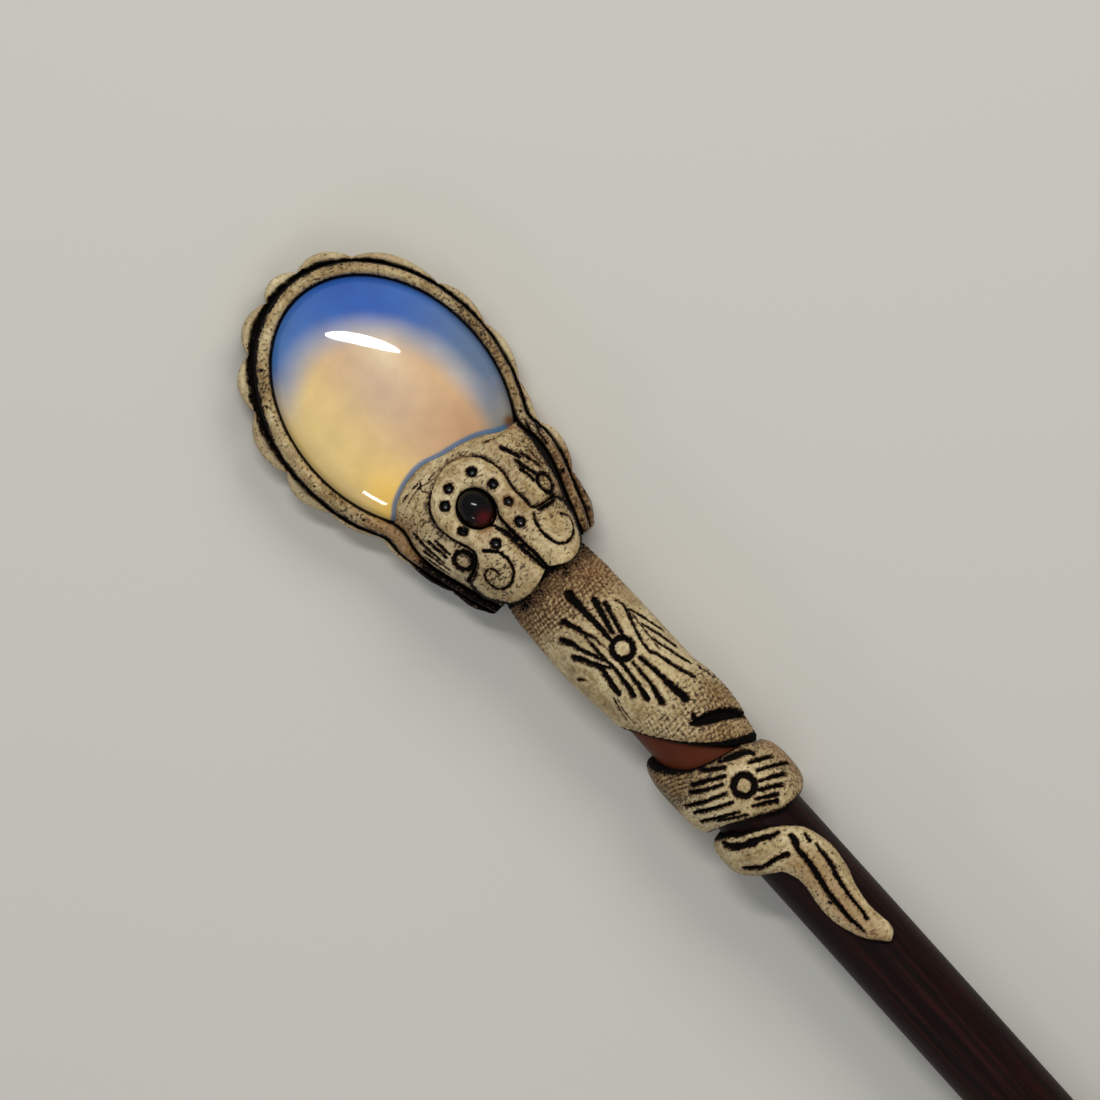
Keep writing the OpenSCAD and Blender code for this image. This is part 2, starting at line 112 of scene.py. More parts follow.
def arch(t: Array, power: float) -> Array:
    """Returns an arch of a power: 1 at 0 and 0 from 1 on, to both sides."""
    return np.clip(1 - np.minimum(np.abs(t), 1) ** power, 0, None) ** (1 / power)


def dome(t: Array, power: float = 3.0) -> Array:
    """Returns a dome across a ribbon: 0 at both sides and 1 in the middle."""
    return np.sqrt(np.clip(1 - np.abs(2 * t - 1) ** power, 0, None))


def along(table: Array, places: Array) -> Array:
    """Follows a smooth curve through the rows of a table.

    Formula: the cubic of Catmull and Rom between each row and the next.

    Args:
        table: Rows of any shape.
        places: Where to read it, counted in rows.

    Returns:
        One row for each place.
    """
    rows = np.asarray(table, float)
    last = len(rows) - 1
    u = np.clip(places, 0, last)
    i = np.minimum(np.floor(u).astype(int), last - 1)
    f = (u - i).reshape(np.shape(u) + (1,) * (rows.ndim - 1))
    a, b, c, d = rows[np.maximum(i - 1, 0)], rows[i], rows[i + 1], rows[np.minimum(i + 2, last)]
    bend = (2 * a - 5 * b + 4 * c - d) * f ** 2 + (3 * b - a - 3 * c + d) * f ** 3
    return (2 * b + (c - a) * f + bend) / 2


def spread(table: Array, share: Array) -> Array:
    """Returns the value at a share of the way through a table of evenly spaced values."""
    return along(table, np.asarray(share) * (len(table) - 1))


def joined(x: Number, y: Number, z: Number) -> Array:
    """Returns points from three arrays of coordinates."""
    return np.stack(np.broadcast_arrays(x, y, z), -1).astype(float)


def hashed(cells: Array, seed: int) -> Array:
    """Gives each cell of a lattice its own number from 0 to 1.

    Formula: the three whole numbers times large odd numbers, mixed by shifts and exclusive or.

    Args:
        cells: Whole numbers, three for each point.
        seed: A number that picks the pattern.

    Returns:
        One number for each point.
    """
    x, y, z = (cells[..., k].astype(np.int64) for k in range(3))
    mixed = (x * 374761393 + y * 668265263 + z * 2147483647 + seed * 974634777) & 0xFFFFFFFF
    mixed = ((mixed ^ (mixed >> 13)) * 1274126177) & 0xFFFFFFFF
    return ((mixed ^ (mixed >> 16)) & 0xFFFFFF) / float(0xFFFFFF)


def noise(points: Array, size: float, seed: int) -> Array:
    """Gives a smooth random value from -1 to 1 at each point.

    Formula: random values at the corners of a lattice, blended between them.

    Args:
        points: Points in mm.
        size: Width of a lattice cell in mm.
        seed: A number that picks the pattern.

    Returns:
        One value for each point.
    """
    p = points / size
    cell = np.floor(p).astype(np.int64)
    f = p - cell
    f = f * f * (3 - 2 * f)
    total = np.zeros(points.shape[:-1])
    for corner in np.ndindex(2, 2, 2):
        c = np.array(corner)
        total += np.prod(np.where(c == 1, f, 1 - f), axis=-1) * hashed(cell + c, seed)
    return 2 * total - 1


def pores(points: Array, spacing: float, radius: float, share: float, seed: int) -> Array:
    """Finds small round pits scattered in the clay.

    Formula: each cell of a lattice may hold one pit at a random place, and a point's depth
    is one less the square of its distance from the pit over the radius.

    Args:
        points: Points in mm.
        spacing: Width of a lattice cell in mm.
        radius: Largest radius of a pit in mm.
        share: Share of the cells that hold a pit.
        seed: A number that picks the pattern.

    Returns:
        A depth from 0 to 1 for each point.
    """
    p = points / spacing
    cell = np.floor(p).astype(np.int64)
    depth = np.zeros(points.shape[:-1])
    for step in np.ndindex(3, 3, 3):
        near = cell + np.array(step) - 1
        centre = near + np.stack([hashed(near, seed + k) for k in (1, 2, 3)], -1)
        reach = radius / spacing * (0.45 + 0.55 * hashed(near, seed + 4))
        found = 1 - np.sum((p - centre) ** 2, -1) / reach ** 2
        depth = np.maximum(depth, np.where(hashed(near, seed) < share, found, 0))
    return depth


def face_normals(points: Array, joined_rows: bool) -> Array:
    """Finds the outward normals of a grid that is closed round its columns.

    Formula: the cross product of the differences along rows and columns, turned so that the
    sum of its product with the way from the grid's middle is positive.

    Args:
        points: Grid of points.
        joined_rows: Whether the last row is followed by the first.

    Returns:
        A unit vector for each point.
    """
    if joined_rows:
        down = np.roll(points, -1, 0) - np.roll(points, 1, 0)
    else:
        down = np.gradient(points, axis=0)
    across = np.roll(points, -1, 1) - np.roll(points, 1, 1)
    n = np.cross(down, across)
    if np.sum(n * (points - points.mean((0, 1)))) < 0:
        n = -n
    return n / np.maximum(np.linalg.norm(n, axis=-1, keepdims=True), 1e-12)


def cabochon(half: Pair, shares: Array, heights: Array, columns: int) -> tuple[Array, Array, Array]:
    """Lays out the rings of an oval stone.

    Args:
        half: Half its length and half its width in mm.
        shares: How large each ring is, as a share of the oval.
        heights: How high each ring lies in mm.
        columns: Number of points in a ring.

    Returns:
        The coordinates of the points, rings by points.
    """
    turn = np.linspace(0, 2 * math.pi, columns, endpoint=False)
    x, y = (h * shares[:, None] * f(turn) for h, f in zip(half, (np.cos, np.sin)))
    return x, y, np.broadcast_to(heights[:, None], x.shape)


def ribbon(rungs: Table, rows: int, over: Array, under: int) -> tuple[Array, Array, Array]:
    """Lays out a ribbon of clay that goes over and comes back under itself.

    Args:
        rungs: The ribbon's course, a row of numbers for each rung.
        rows: How many rungs are read from it.
        over: Shares of the way across at which its upper side has points.
        under: Number of points on its lower side.

    Returns:
        The rungs, the share across at each column, and 1 on the upper side and 0 below.
    """
    rung = along(np.array(rungs), np.linspace(0, len(rungs) - 1, rows))[:, None, :]
    across = np.concatenate([over, np.linspace(1, 0, under)])
    return rung, across, np.concatenate([np.ones(len(over)), np.zeros(under)])


def linear(hue: str) -> tuple[float, float, float, float]:
    """Turns an sRGB hex value into a linear colour with full alpha."""
    parts = [int(hue.lstrip("#")[k:k + 2], 16) / 255 for k in (0, 2, 4)]
    r, g, b = (c / 12.92 if c <= 0.04045 else ((c + 0.055) / 1.055) ** 2.4 for c in parts)
    return r, g, b, 1.0


# Meshes


def grid_faces(rows: int, cols: int, ends: Ends) -> tuple[Array, Array]:
    """Joins the points of a grid that closes round its columns.

    Args:
        rows: Number of rows.
        cols: Number of points in a row.
        ends: How the first and last rows are closed.

    Returns:
        The faces with four corners, and those with three that meet in the two added points.
    """
    spans = rows if ends is Ends.JOINED else rows - 1
    i, j = (n.ravel() for n in np.meshgrid(np.arange(spans), np.arange(cols), indexing="ij"))
    down, right = (i + 1) % rows, (j + 1) % cols
    quads = np.stack([i * cols + j, down * cols + j, down * cols + right, i * cols + right], -1)
    tris = np.zeros((0, 3), int)
    last = (rows - 1) * cols
    if ends is Ends.LADDER:
        k = np.arange(cols // 2 - 1)
        first = np.stack([k, k + 1, cols - 2 - k, cols - 1 - k], -1)
        quads = np.concatenate([quads, first, first[:, ::-1] + last])
    if ends is Ends.FAN:
        k = np.arange(cols)
        after, tip = (k + 1) % cols, np.full(cols, rows * cols)
        tris = np.concatenate([
            np.stack([k, after, tip], -1), np.stack([after + last, k + last, tip + 1], -1),
        ])
    return quads, tris


def skin(
    name: str,
    points: Array,
    marks: dict[str, Array],
    ends: Ends,
    material: Material,
    weld: bool = False,
) -> Object:
    """Makes a piece from a grid of points that closes round its columns.

    Args:
        name: The piece's name.
        points: Grid of points in mm, rows by columns.
        marks: A number or a colour at each point, by attribute name.
        ends: How the first and last rows are closed.
        material: The piece's finish.
        weld: Whether points that coincide are merged.

    Returns:
        The new object, with its place in its mesh.
    """
    rows, cols = points.shape[:2]
    low, high = (np.array(corner) / MM for corner in CAD_BOX)
    flat = np.clip(points, low + INSIDE_MM, high - INSIDE_MM).reshape(-1, 3)
    fanned = ends is Ends.FAN
    spots = np.concatenate([flat, [flat[:cols].mean(0), flat[-cols:].mean(0)]]) if fanned else flat
    quads, tris = grid_faces(rows, cols, ends)
    corners = np.concatenate([quads[:, [0, 1, 2]], quads[:, [0, 2, 3]], tris])
    a, b, c = (spots[corners[:, n]] for n in range(3))
    if np.sum(a * np.cross(b, c)) < 0:
        quads, tris = quads[:, ::-1], tris[:, ::-1]
    mesh = bpy.data.meshes.new(name)
    mesh.from_pydata((spots * MM).tolist(), [], quads.tolist() + tris.tolist())
    for mark, values in marks.items():
        wide = 4 if values.ndim == 3 else 1
        grid = values.reshape(rows * cols, wide)
        caps = [grid[:cols].mean(0), grid[-cols:].mean(0)] if fanned else []
        full = np.concatenate([grid, np.array(caps).reshape(-1, wide)]).astype(np.float32)
        kind, key = ("FLOAT_COLOR", "color") if wide == 4 else ("FLOAT", "value")
        mesh.attributes.new(mark, kind, "POINT").data.foreach_set(key, full.ravel())
    if weld:
        sheet = bmesh.new()
        sheet.from_mesh(mesh)
        bmesh.ops.remove_doubles(sheet, verts=sheet.verts, dist=0.002 * MM)
        bmesh.ops.dissolve_degenerate(sheet, edges=sheet.edges, dist=0.001 * MM)
        sheet.to_mesh(mesh)
        sheet.free()
    mesh.polygons.foreach_set("use_smooth", np.ones(len(mesh.polygons), bool))
    mesh.materials.append(material)
    piece = bpy.data.objects.new(name, mesh)
    bpy.context.scene.collection.objects.link(piece)
    return piece


def stand_for(piece: Object, cad_node: str) -> None:
    """Ties a piece to the body, hides the imported node that it stands for, and reports it."""
    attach(piece, "root")
    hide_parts(cad_node)
    LOG.info("%s stands for %s with %d faces", piece.name, cad_node, len(piece.data.polygons))


# Marks in the clay


@dataclass(frozen=True)
class Stroke:
    """A line pressed into the clay.

    Attributes:
        rows: Place along the stick, place across it and the line's width, all in mm.
        depth: Its depth in mm, less where the line is narrow.
        ink: How black it is, from 0 to 1.
        sink: How far the clay beside it is drawn down, in mm.
        spill: How far its black reaches past its edges, where 1 is 0.3 mm.
    """

    rows: Table
    depth: float = 0.38
    ink: float = 1.0
    sink: float = 0.03
    spill: float = 1.0


@dataclass(frozen=True)
class Ring:
    """A ring pressed into the clay: its middle, its groove and how much it is flattened across."""

    x: float
    y: float
    radius: float = 1.03
    width: float = 0.52
    depth: float = 0.42
    flat: float = 1.0


@dataclass(frozen=True)
class Dot:
    """A small round pit: its middle, its radius and depth in mm, and how black it is."""

    x: float
    y: float
    radius: float = 0.54
    depth: float = 0.7
    ink: float = 1.0


@dataclass(frozen=True)
class Patch:
    """A soft spot of brown stain or of speckled grime: its middle, its reach and its strength."""

    x: float
    y: float
    reach: float
    strength: float = 1.0


@dataclass
class Relief:
    """What is pressed into one clay surface and rubbed over it, at every point of its grid.

    Attributes:
        chart: A place for each point in which distances are measured.
        solid: The points themselves in mm, for patterns that run through the clay.
        place: Puts a place along and across the stick onto the chart.
        cut: How far marks lower the surface, in mm and below 0.
        lip: Height of the lips raised beside the marks, in mm.
        sunk: How far the clay round a mark is drawn down, in mm and below 0.
        ink: Black rub, and black painted shadow along some joins, from 0 to 1 as are all that
            follow.
        stain: Brown stain.
        grime_and_shade: Dust and specks, and painted shade round the marks and at the neck's start.
        wear_and_highlight: Where handling has left the clay brighter, and painted highlights on the
            cloth print's high places and on the rim's petals.
        wet: Where black lies thick and shines.
        ragged: The unevenness of the marks' edges, in mm.
    """

    chart: Array
    solid: Array
    place: Callable[[Array, Array], Array]
    cut: Array = field(init=False)
    lip: Array = field(init=False)
    sunk: Array = field(init=False)
    ink: Array = field(init=False)
    stain: Array = field(init=False)
    grime_and_shade: Array = field(init=False)
    wear_and_highlight: Array = field(init=False)
    wet: Array = field(init=False)
    ragged: Array = field(init=False)

    def __post_init__(self) -> None:
        """Starts with a clean surface and the raggedness of its marks' edges."""
        for name in ("cut", "lip", "sunk", "ink", "stain", "grime_and_shade", "wear_and_highlight", "wet"):
            setattr(self, name, np.zeros(self.chart.shape[:2]))
        self.ragged = 0.06 * noise(self.solid, 0.45, 3) + 0.045 * noise(self.solid, 0.17, 4)

    def near(self, line: Array, reach: float) -> Array:
        """Returns where the chart lies within a reach of a line's box."""
        low, high = line.min(0) - reach, line.max(0) + reach
        return np.all((self.chart > low) & (self.chart < high), -1)

    def away(self, mark: Ring | Dot | Patch, where: Array | slice = slice(None)) -> Array:
        """Returns how far the looked-at points lie from a mark's middle on the chart, each way."""
        return self.chart[where] - self.place(np.array([mark.x]), np.array([mark.y]))

    def stamp(
        self, where: Array, beyond: Array, depth: Number, wall: float,
        ink: float = 1.0, sink: float = 0.03, spill: float = 1.0,
    ) -> None:
        """Lowers the surface inside a mark, raises a thin lip round it and blackens it.

        Formula: the depth grows from the mark's edge over the width of its wall, the lip is
        a bell just outside the edge, and the black fades evenly across the edge.

        Args:
            where: The points that are looked at.
            beyond: How far each of them lies outside the mark's edge, in mm.
            depth: The mark's depth in mm.
            wall: Width of its sloping wall in mm.
            ink: How black it is, from 0 to 1.
            sink: How far the clay round it is drawn down, in mm.
            spill: How far the black reaches past the edge, where 1 is 0.3 mm.
        """
        edge = beyond + self.ragged[where]
        inside = smooth(-edge / wall + 0.15)
        lip = 0.05 * bell((edge - 0.17) / 0.14) * (inside < 0.2)
        black = ink * np.clip((0.3 * spill - edge) / (0.42 * spill), 0, 1)
        drawn = sink * bell(np.maximum(edge, 0) / 0.6)
        self.cut[where] = np.minimum(self.cut[where], -depth * inside)
        self.lip[where] = np.maximum(self.lip[where], lip)
        self.ink[where] = np.maximum(self.ink[where], black)
        self.wear_and_highlight[where] = np.maximum(self.wear_and_highlight[where], 0.5 * bell((edge - 0.42) / 0.22))
        self.sunk[where] = np.minimum(self.sunk[where], -drawn)

    def press(self, strokes: tuple[Stroke, ...], bold: float = 1.0) -> None:
        """Presses lines into the clay.

        Formula: the distance from each point to the nearest short stretch of the line, less
        half the line's width there.

        Args:
            strokes: The lines.
            bold: What their widths are multiplied by.
        """
        for stroke in strokes:
            rows = np.array(stroke.rows)
            fine = along(rows, np.linspace(0, len(rows) - 1, 6 * (len(rows) - 1) + 1))
            line, half = self.place(fine[:, 0], fine[:, 1]), fine[:, 2] / 2 * bold
            where = self.near(line, 1.5)
            p = self.chart[where]
            if not len(p):
                continue
            beyond, width = np.full(len(p), 9.0), np.full(len(p), 0.1)
            for a, b, wa, wb in zip(line[:-1], line[1:], half[:-1], half[1:]):
                way = b - a
                t = np.clip((p - a) @ way / max(way @ way, 1e-9), 0, 1)
                gap = np.linalg.norm(p - a - t[:, None] * way, axis=-1) - lerp(wa, wb, t)
                width = np.where(gap < beyond, lerp(wa, wb, t), width)
                beyond = np.minimum(beyond, gap)
            depth = np.minimum(stroke.depth, 2.4 * width)
            self.stamp(where, beyond, depth, 0.14, stroke.ink, stroke.sink, stroke.spill)

    def circle(self, ring: Ring) -> None:
        """Presses a ring: how far the distance from its middle differs from its radius."""
        where = self.near(self.place(np.array([ring.x]), np.array([ring.y])), ring.radius + 1)
        away = np.linalg.norm(self.away(ring, where) / [1, ring.flat, ring.flat], axis=-1)
        self.stamp(where, np.abs(away - ring.radius) - ring.width / 2, ring.depth, 0.16)
        inside = smooth((ring.radius - away) / 0.3)
        self.cut[where] -= 0.06 * inside
        self.grime_and_shade[where] += 0.5 * inside

    def dent(self, dot: Dot) -> None:
        """Presses a round pit with black shining on its bottom: the distance less its radius."""
        where = self.near(self.place(np.array([dot.x]), np.array([dot.y])), dot.radius + 0.8)
        away = np.linalg.norm(self.away(dot, where), axis=-1)
        bowl = dot.depth * np.clip(1 - 0.3 * (away / dot.radius) ** 2, 0.3, 1)
        self.stamp(where, away - dot.radius, bowl, 0.2, dot.ink)
        shine = smooth((0.85 * dot.radius - away) / 0.12)
        self.wet[where] = np.maximum(self.wet[where], shine)

    def weave(self, share: Array, pitch: float = 0.66, depth: float = 0.19) -> None:
        """Presses the print of a cloth, with grime in its low places and a painted highlight on its
        high places.

        Formula: the product of two sine waves that cross the clay aslant, bent by noise.

        Args:
            share: How strong the print is at each point, from 0 to 1.
            pitch: Width of a thread in mm, drawn coarser than the real one's 0.35.
            depth: Depth of the print in mm.
        """
        along_it, across_it = self.chart[..., 0], self.chart[..., 1]
        bend = 2.4 * noise(self.solid, 1.5, 15), 2.4 * noise(self.solid, 1.2, 16)
        warp = np.sin(2 * math.pi * (0.8 * along_it + 0.6 * across_it) / pitch + bend[0])
        weft = np.sin(2 * math.pi * (0.6 * along_it - 0.8 * across_it) / (1.3 * pitch) + bend[1])
        low = smooth(0.5 - 0.9 * warp * weft) * share
        self.cut -= depth * low
        self.grime_and_shade += 0.6 * low
        self.ink = np.maximum(self.ink, 0.46 * low)
        # Painted highlight: the print's high places are made lighter.
        self.wear_and_highlight += 0.75 * smooth(0.9 * warp * weft) * share

    def stain_by(self, patches: tuple[Patch, ...]) -> None:
        """Adds brown stains, each a bell with a ragged edge."""
        for patch in patches:
            away = np.linalg.norm(self.away(patch), axis=-1) / patch.reach
            self.stain += patch.strength * bell(np.maximum(away + 5 * self.ragged, 0))

    def soil(self, patches: tuple[Patch, ...]) -> None:
        """Adds speckled grime, each patch a bell."""
        for patch in patches:
            away = np.linalg.norm(self.away(patch), axis=-1) / patch.reach
            self.grime_and_shade += patch.strength * bell(away)

    def blacken(self, share: Array) -> None:
        """Adds black where a share is larger than what is there."""
        self.ink = np.maximum(self.ink, share)

    def height(self) -> Array:
        """Returns how far the surface is moved out by its marks and the maker's fingers."""
        soft = 0.05 * noise(self.solid, 3.1, 11) + 0.022 * noise(self.solid, 1.1, 12)
        fine = 0.012 * noise(self.solid, 0.4, 13) + 0.008 * noise(self.solid, 0.19, 14)
        pits = pores(self.solid, 0.75, 0.16, 0.3, 21)
        self.blacken(0.5 * smooth(2.5 * pits) * (0.2 + 0.8 * np.clip(self.grime_and_shade, 0, 1)))
        rough = (1 - self.wet) * (soft + fine - 0.07 * smooth(2 * pits))
        return self.cut + self.sunk + self.lip * (self.cut > -0.02) + rough

    def marks(self) -> dict[str, Array]:
        """Returns the attributes that the clay's material reads."""
        # Clay drawn down round the marks is darkened: dirt, and painted shade in the hollows.
        self.grime_and_shade = self.grime_and_shade - 3.5 * self.sunk
        self.wear_and_highlight = self.wear_and_highlight + 0.35 * noise(self.solid, 3.1, 11)
        names = ("ink", "stain", "grime_and_shade", "wear_and_highlight", "wet")
        return {name: np.clip(getattr(self, name), 0, 1) for name in names}

    def piece(
        self, name: str, cad_node: str, height: Array, ends: Ends,
        clay: Material, weld: bool = False,
    ) -> Object:
        """Makes the clay piece whose grid this is.

        Args:
            name: The piece's name.
            cad_node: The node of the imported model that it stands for.
            height: How far each point is moved out square to the surface, in mm.
            ends: How the first and last rows are closed.
            clay: The piece's finish.
            weld: Whether points that coincide are merged.

        Returns:
            The new object.
        """
        points = self.solid + face_normals(self.solid, ends is Ends.JOINED) * height[..., None]
        made = skin(name, points, self.marks(), ends, clay, weld)
        stand_for(made, cad_node)
        return made


# Finishes


def node(
    tree: bpy.types.NodeTree,
    kind: str,
    inputs: dict[str | int, object] | None = None,
    stops: Stops = (),
    **settings: object,
) -> bpy.types.Node:
    """Adds one node with its settings, its values and its links.

    Args:
        tree: The material's node tree.
        kind: Blender's name for the kind of node.
        inputs: A value, or the socket that feeds it, for each input.
        stops: Places and hex values of a colour ramp.
        settings: The node's own properties.

    Returns:
        The node.
    """
    made = tree.nodes.new(kind)
    for name, value in settings.items():
        setattr(made, name, value)
    for name, value in (inputs or {}).items():
        if isinstance(value, Socket):
            tree.links.new(value, made.inputs[name])
        else:
            made.inputs[name].default_value = value
    for k, (place, hue) in enumerate(stops):
        stop = made.color_ramp.elements[k] if k < 2 else made.color_ramp.elements.new(place)
        stop.position, stop.color = place, linear(hue)
    return made


@dataclass(frozen=True)
class Mixer:
    """A new material's node tree, with the steps that the finishes below are made of."""

    made: Material

    @classmethod
    def blank(cls, name: str) -> "Mixer":
        """Starts a new material without nodes."""
        made = bpy.data.materials.new(name)
        made.use_nodes = True
        made.node_tree.nodes.clear()
        return cls(made)

    def add(self, kind: str, inputs: dict | None = None, **settings: object) -> bpy.types.Node:
        """Adds one node to the tree."""
        return node(self.made.node_tree, "ShaderNode" + kind, inputs, **settings)

    def here(self) -> Socket:
        """Returns the place on the piece, in its own coordinates."""
        return self.add("TexCoord").outputs["Object"]

    def mark(self, name: str, output: str = "Fac") -> Socket:
        """Returns an attribute of the mesh."""
        return self.add("Attribute", attribute_name=name).outputs[output]

    def cloud(
        self, place: Socket, scale: float, detail: float, roughness: float = 0.5,
    ) -> Socket:
        """Returns the value of a noise."""
        inputs = {"Vector": place, "Scale": scale, "Detail": detail, "Roughness": roughness}
        return self.add("TexNoise", inputs).outputs["Fac"]

    def turned(self, place: Socket, **changes: object) -> Socket:
        """Returns a place that is turned or scaled."""
        return self.add("Mapping", {"Vector": place, **changes}).outputs[0]

    def reckon(self, operation: str, a: object, b: object, c: object = 0.0) -> Socket:
        """Returns the outcome of one sum."""
        return self.add("Math", {0: a, 1: b, 2: c}, operation=operation).outputs[0]

    def span(
        self, value: Socket, source: Pair = (0.0, 1.0),
        target: Pair = (0.0, 1.0), kind: str = "SMOOTHSTEP",
    ) -> Socket:
        """Returns a value carried from one range to another, softly unless told otherwise."""
        inputs = {"Value": value, "From Min": source[0], "From Max": source[1]}
        inputs |= {"To Min": target[0], "To Max": target[1]}
        return self.add("MapRange", inputs, interpolation_type=kind).outputs["Result"]

    def ramp(self, value: Socket, stops: Stops) -> Socket:
        """Returns the colour that a value has on a ramp."""
        return self.add("ValToRGB", {"Fac": value}, stops=stops).outputs["Color"]

    def blend(self, share: object, a: object, b: object, kind: str = "MIX") -> Socket:
        """Returns a mix of two colours, either of which may be a hex value."""
        a, b = (linear(c) if isinstance(c, str) else c for c in (a, b))
        return self.add("Mix", {0: share, 6: a, 7: b}, data_type="RGBA", blend_type=kind).outputs[2]

    def bump(self, inputs: dict, **settings: object) -> Socket:
        """Returns the surface's normal, bent by a height."""
        return self.add("Bump", inputs, **settings).outputs["Normal"]

    def surface(self, inputs: dict) -> Material:
        """Joins the shader to the output and returns the material."""
        shader = self.add("BsdfPrincipled", inputs)
        self.add("OutputMaterial", {"Surface": shader.outputs["BSDF"]})
        return self.made


@dataclass(frozen=True)
class FiredClay:
    """Polymer clay, rolled, pressed and fired, then rubbed with dark antiquing.

    It gives the eye an aged ivory with a satin sheen, black lines where the rub stayed, brown
    stains beside them and fine dark specks where the clay took the print of a cloth. Black
    that lies thick in a pit shines. Part of its black and its grime is painted shade, and part
    of its brightening is painted highlight.
    """

    name: str = "fired_clay_antiqued"
    shades: Stops = ((0.3, "#8b744a"), (0.5, "#b7a275"), (0.7, "#d6c79c"))
    grain_shades: Stops = ((0.36, "#a08a63"), (0.58, "#ffffff"))
    dull: str = "#7b5b2b"
    speck: str = "#2f2010"
    bright: str = "#ddcfa8"
    rust: str = "#7b4a1c"
    brown: str = "#4d331a"
    black: str = "#0d0a08"
    mottle_mm: float = 3.0
    grain_mm: float = 0.4
    speck_mm: float = 0.27
    ragged_mm: float = 0.3
    bump_mm: float = 0.09
    speck_turn_deg: float = -28.0

    def material(self) -> Material:
        """Builds the material.

        Returns:
            A material that reads the attributes ink, stain, grime_and_shade, wear_and_highlight and
            wet.
        """
        m = Mixer.blank(self.name)
        here = m.here()
        ink, stain, grime_and_shade, wear_and_highlight, wet = map(m.mark, ("ink", "stain", "grime_and_shade", "wear_and_highlight", "wet"))
        turn = (0.0, 0.0, math.radians(self.speck_turn_deg))
        turned = m.turned(here, Rotation=turn, Scale=(1.0, 0.5, 1.0))

        def cloud(size_mm: float, detail: float, place: Socket = here) -> Socket:
            """Returns the value of a noise whose lumps are as wide as given."""
            return m.cloud(place, 1 / (size_mm * MM), detail, 0.62)

        mottle, grain = cloud(self.mottle_mm, 5.0), cloud(self.grain_mm, 3.0)
        fleck, torn = cloud(self.speck_mm, 2.0, turned), cloud(self.ragged_mm, 4.0)
        base, veil = m.ramp(mottle, self.shades), m.ramp(grain, self.grain_shades)
        clay = m.blend(0.7, base, veil, "MULTIPLY")
        # Lightening by wear, partly painted highlight; dulling by grime, partly painted shade.
        clay = m.blend(m.reckon("MULTIPLY", wear_and_highlight, 0.65), clay, self.bright)
        clay = m.blend(m.reckon("MULTIPLY", grime_and_shade, 0.55), clay, self.dull)
        dusty = m.span(m.reckon("MULTIPLY_ADD", grime_and_shade, 0.17, fleck), (0.61, 0.74), (0.0, 0.92))
        clay = m.blend(dusty, clay, self.speck)
        stained = {0: m.reckon("MULTIPLY", mottle, stain), 1: 1.6}
        tinted = m.add("Math", stained, operation="MULTIPLY", use_clamp=True).outputs[0]
        clay = m.blend(tinted, clay, self.rust)
        rub = m.reckon("SUBTRACT", m.reckon("MULTIPLY_ADD", torn, 1.5, ink), 0.75)
        clay = m.blend(m.span(rub, (0.24, 0.56), (0.0, 0.88)), clay, self.brown)
        dark = m.span(rub, (0.54, 0.7))
        gloss = m.reckon("MULTIPLY_ADD", dark, 0.3, m.reckon("MULTIPLY_ADD", grain, -0.5, 0.7))
        shine = m.reckon("MULTIPLY_ADD", dark, -0.34, 0.42)
        bump = m.bump({
            "Height": m.reckon("MULTIPLY_ADD", dusty, -0.5, grain), "Distance": self.bump_mm * MM,
            "Strength": m.reckon("MULTIPLY_ADD", wet, -0.85, 0.9),
        })
        return m.surface({
            "Base Color": m.blend(dark, clay, self.black), "Normal": bump, "IOR": 1.45,
            "Roughness": m.reckon("MULTIPLY_ADD", wet, -0.5, gloss),
            "Specular IOR Level": m.reckon("MULTIPLY_ADD", wet, 0.5, shine),
        })


@dataclass(frozen=True)
class Rosewood:
    """Rosewood, turned, sanded and oiled.

    It gives the eye a very dark red-brown with fine darker streaks along the stick and a
    dull, wide sheen, and is redder where it shows between the turns of the clay.
    """

    name: str = "rosewood_oiled"
    shades: Stops = ((0.25, "#080302"), (0.5, "#150705"), (0.75, "#2e100a"))
    pore: str = "#120605"
    gap_red: str = "#7c3a1e"
    gap_red_share: float = 0.38
    gap_red_end: Pair = (52.0, 49.0)
    streak_mm: Pair = (14.0, 0.55)
    pore_mm: Pair = (3.0, 0.16)
    bump_mm: float = 0.03

    def material(self) -> Material:
        """Builds the material.

        Returns:
            A material whose streaks run along X.
        """
        m = Mixer.blank(self.name)
        here = m.here()

        def streaks(long_mm: float, wide_mm: float) -> Socket:
            """Returns the value of a noise that is drawn out along the stick."""
            scale = (1 / (long_mm * MM), 1 / (wide_mm * MM), 1 / (wide_mm * MM))
            return m.cloud(m.turned(here, Scale=scale), 1.0, 4.0, 0.6)

        shade, pits = streaks(*self.streak_mm), streaks(*self.pore_mm)
        wood = m.blend(m.span(pits, (0.58, 0.7), (0.0, 0.8)), m.ramp(shade, self.shades), self.pore)
        # Redder up to 49 mm along X, fading out by 52 mm.
        place_x = m.add("SeparateXYZ", {"Vector": here}).outputs["X"]
        bare, full = (edge * MM for edge in self.gap_red_end)
        gap_red = m.span(place_x, (bare, full), (0.0, self.gap_red_share), "LINEAR")
        bump = m.bump({"Height": pits, "Distance": self.bump_mm * MM, "Strength": 0.5}, invert=True)
        return m.surface({
            "Base Color": m.blend(gap_red, wood, self.gap_red), "Normal": bump, "IOR": 1.45,
            "Roughness": m.span(pits, target=(0.4, 0.58), kind="LINEAR"),
            "Specular IOR Level": 0.14,
        })


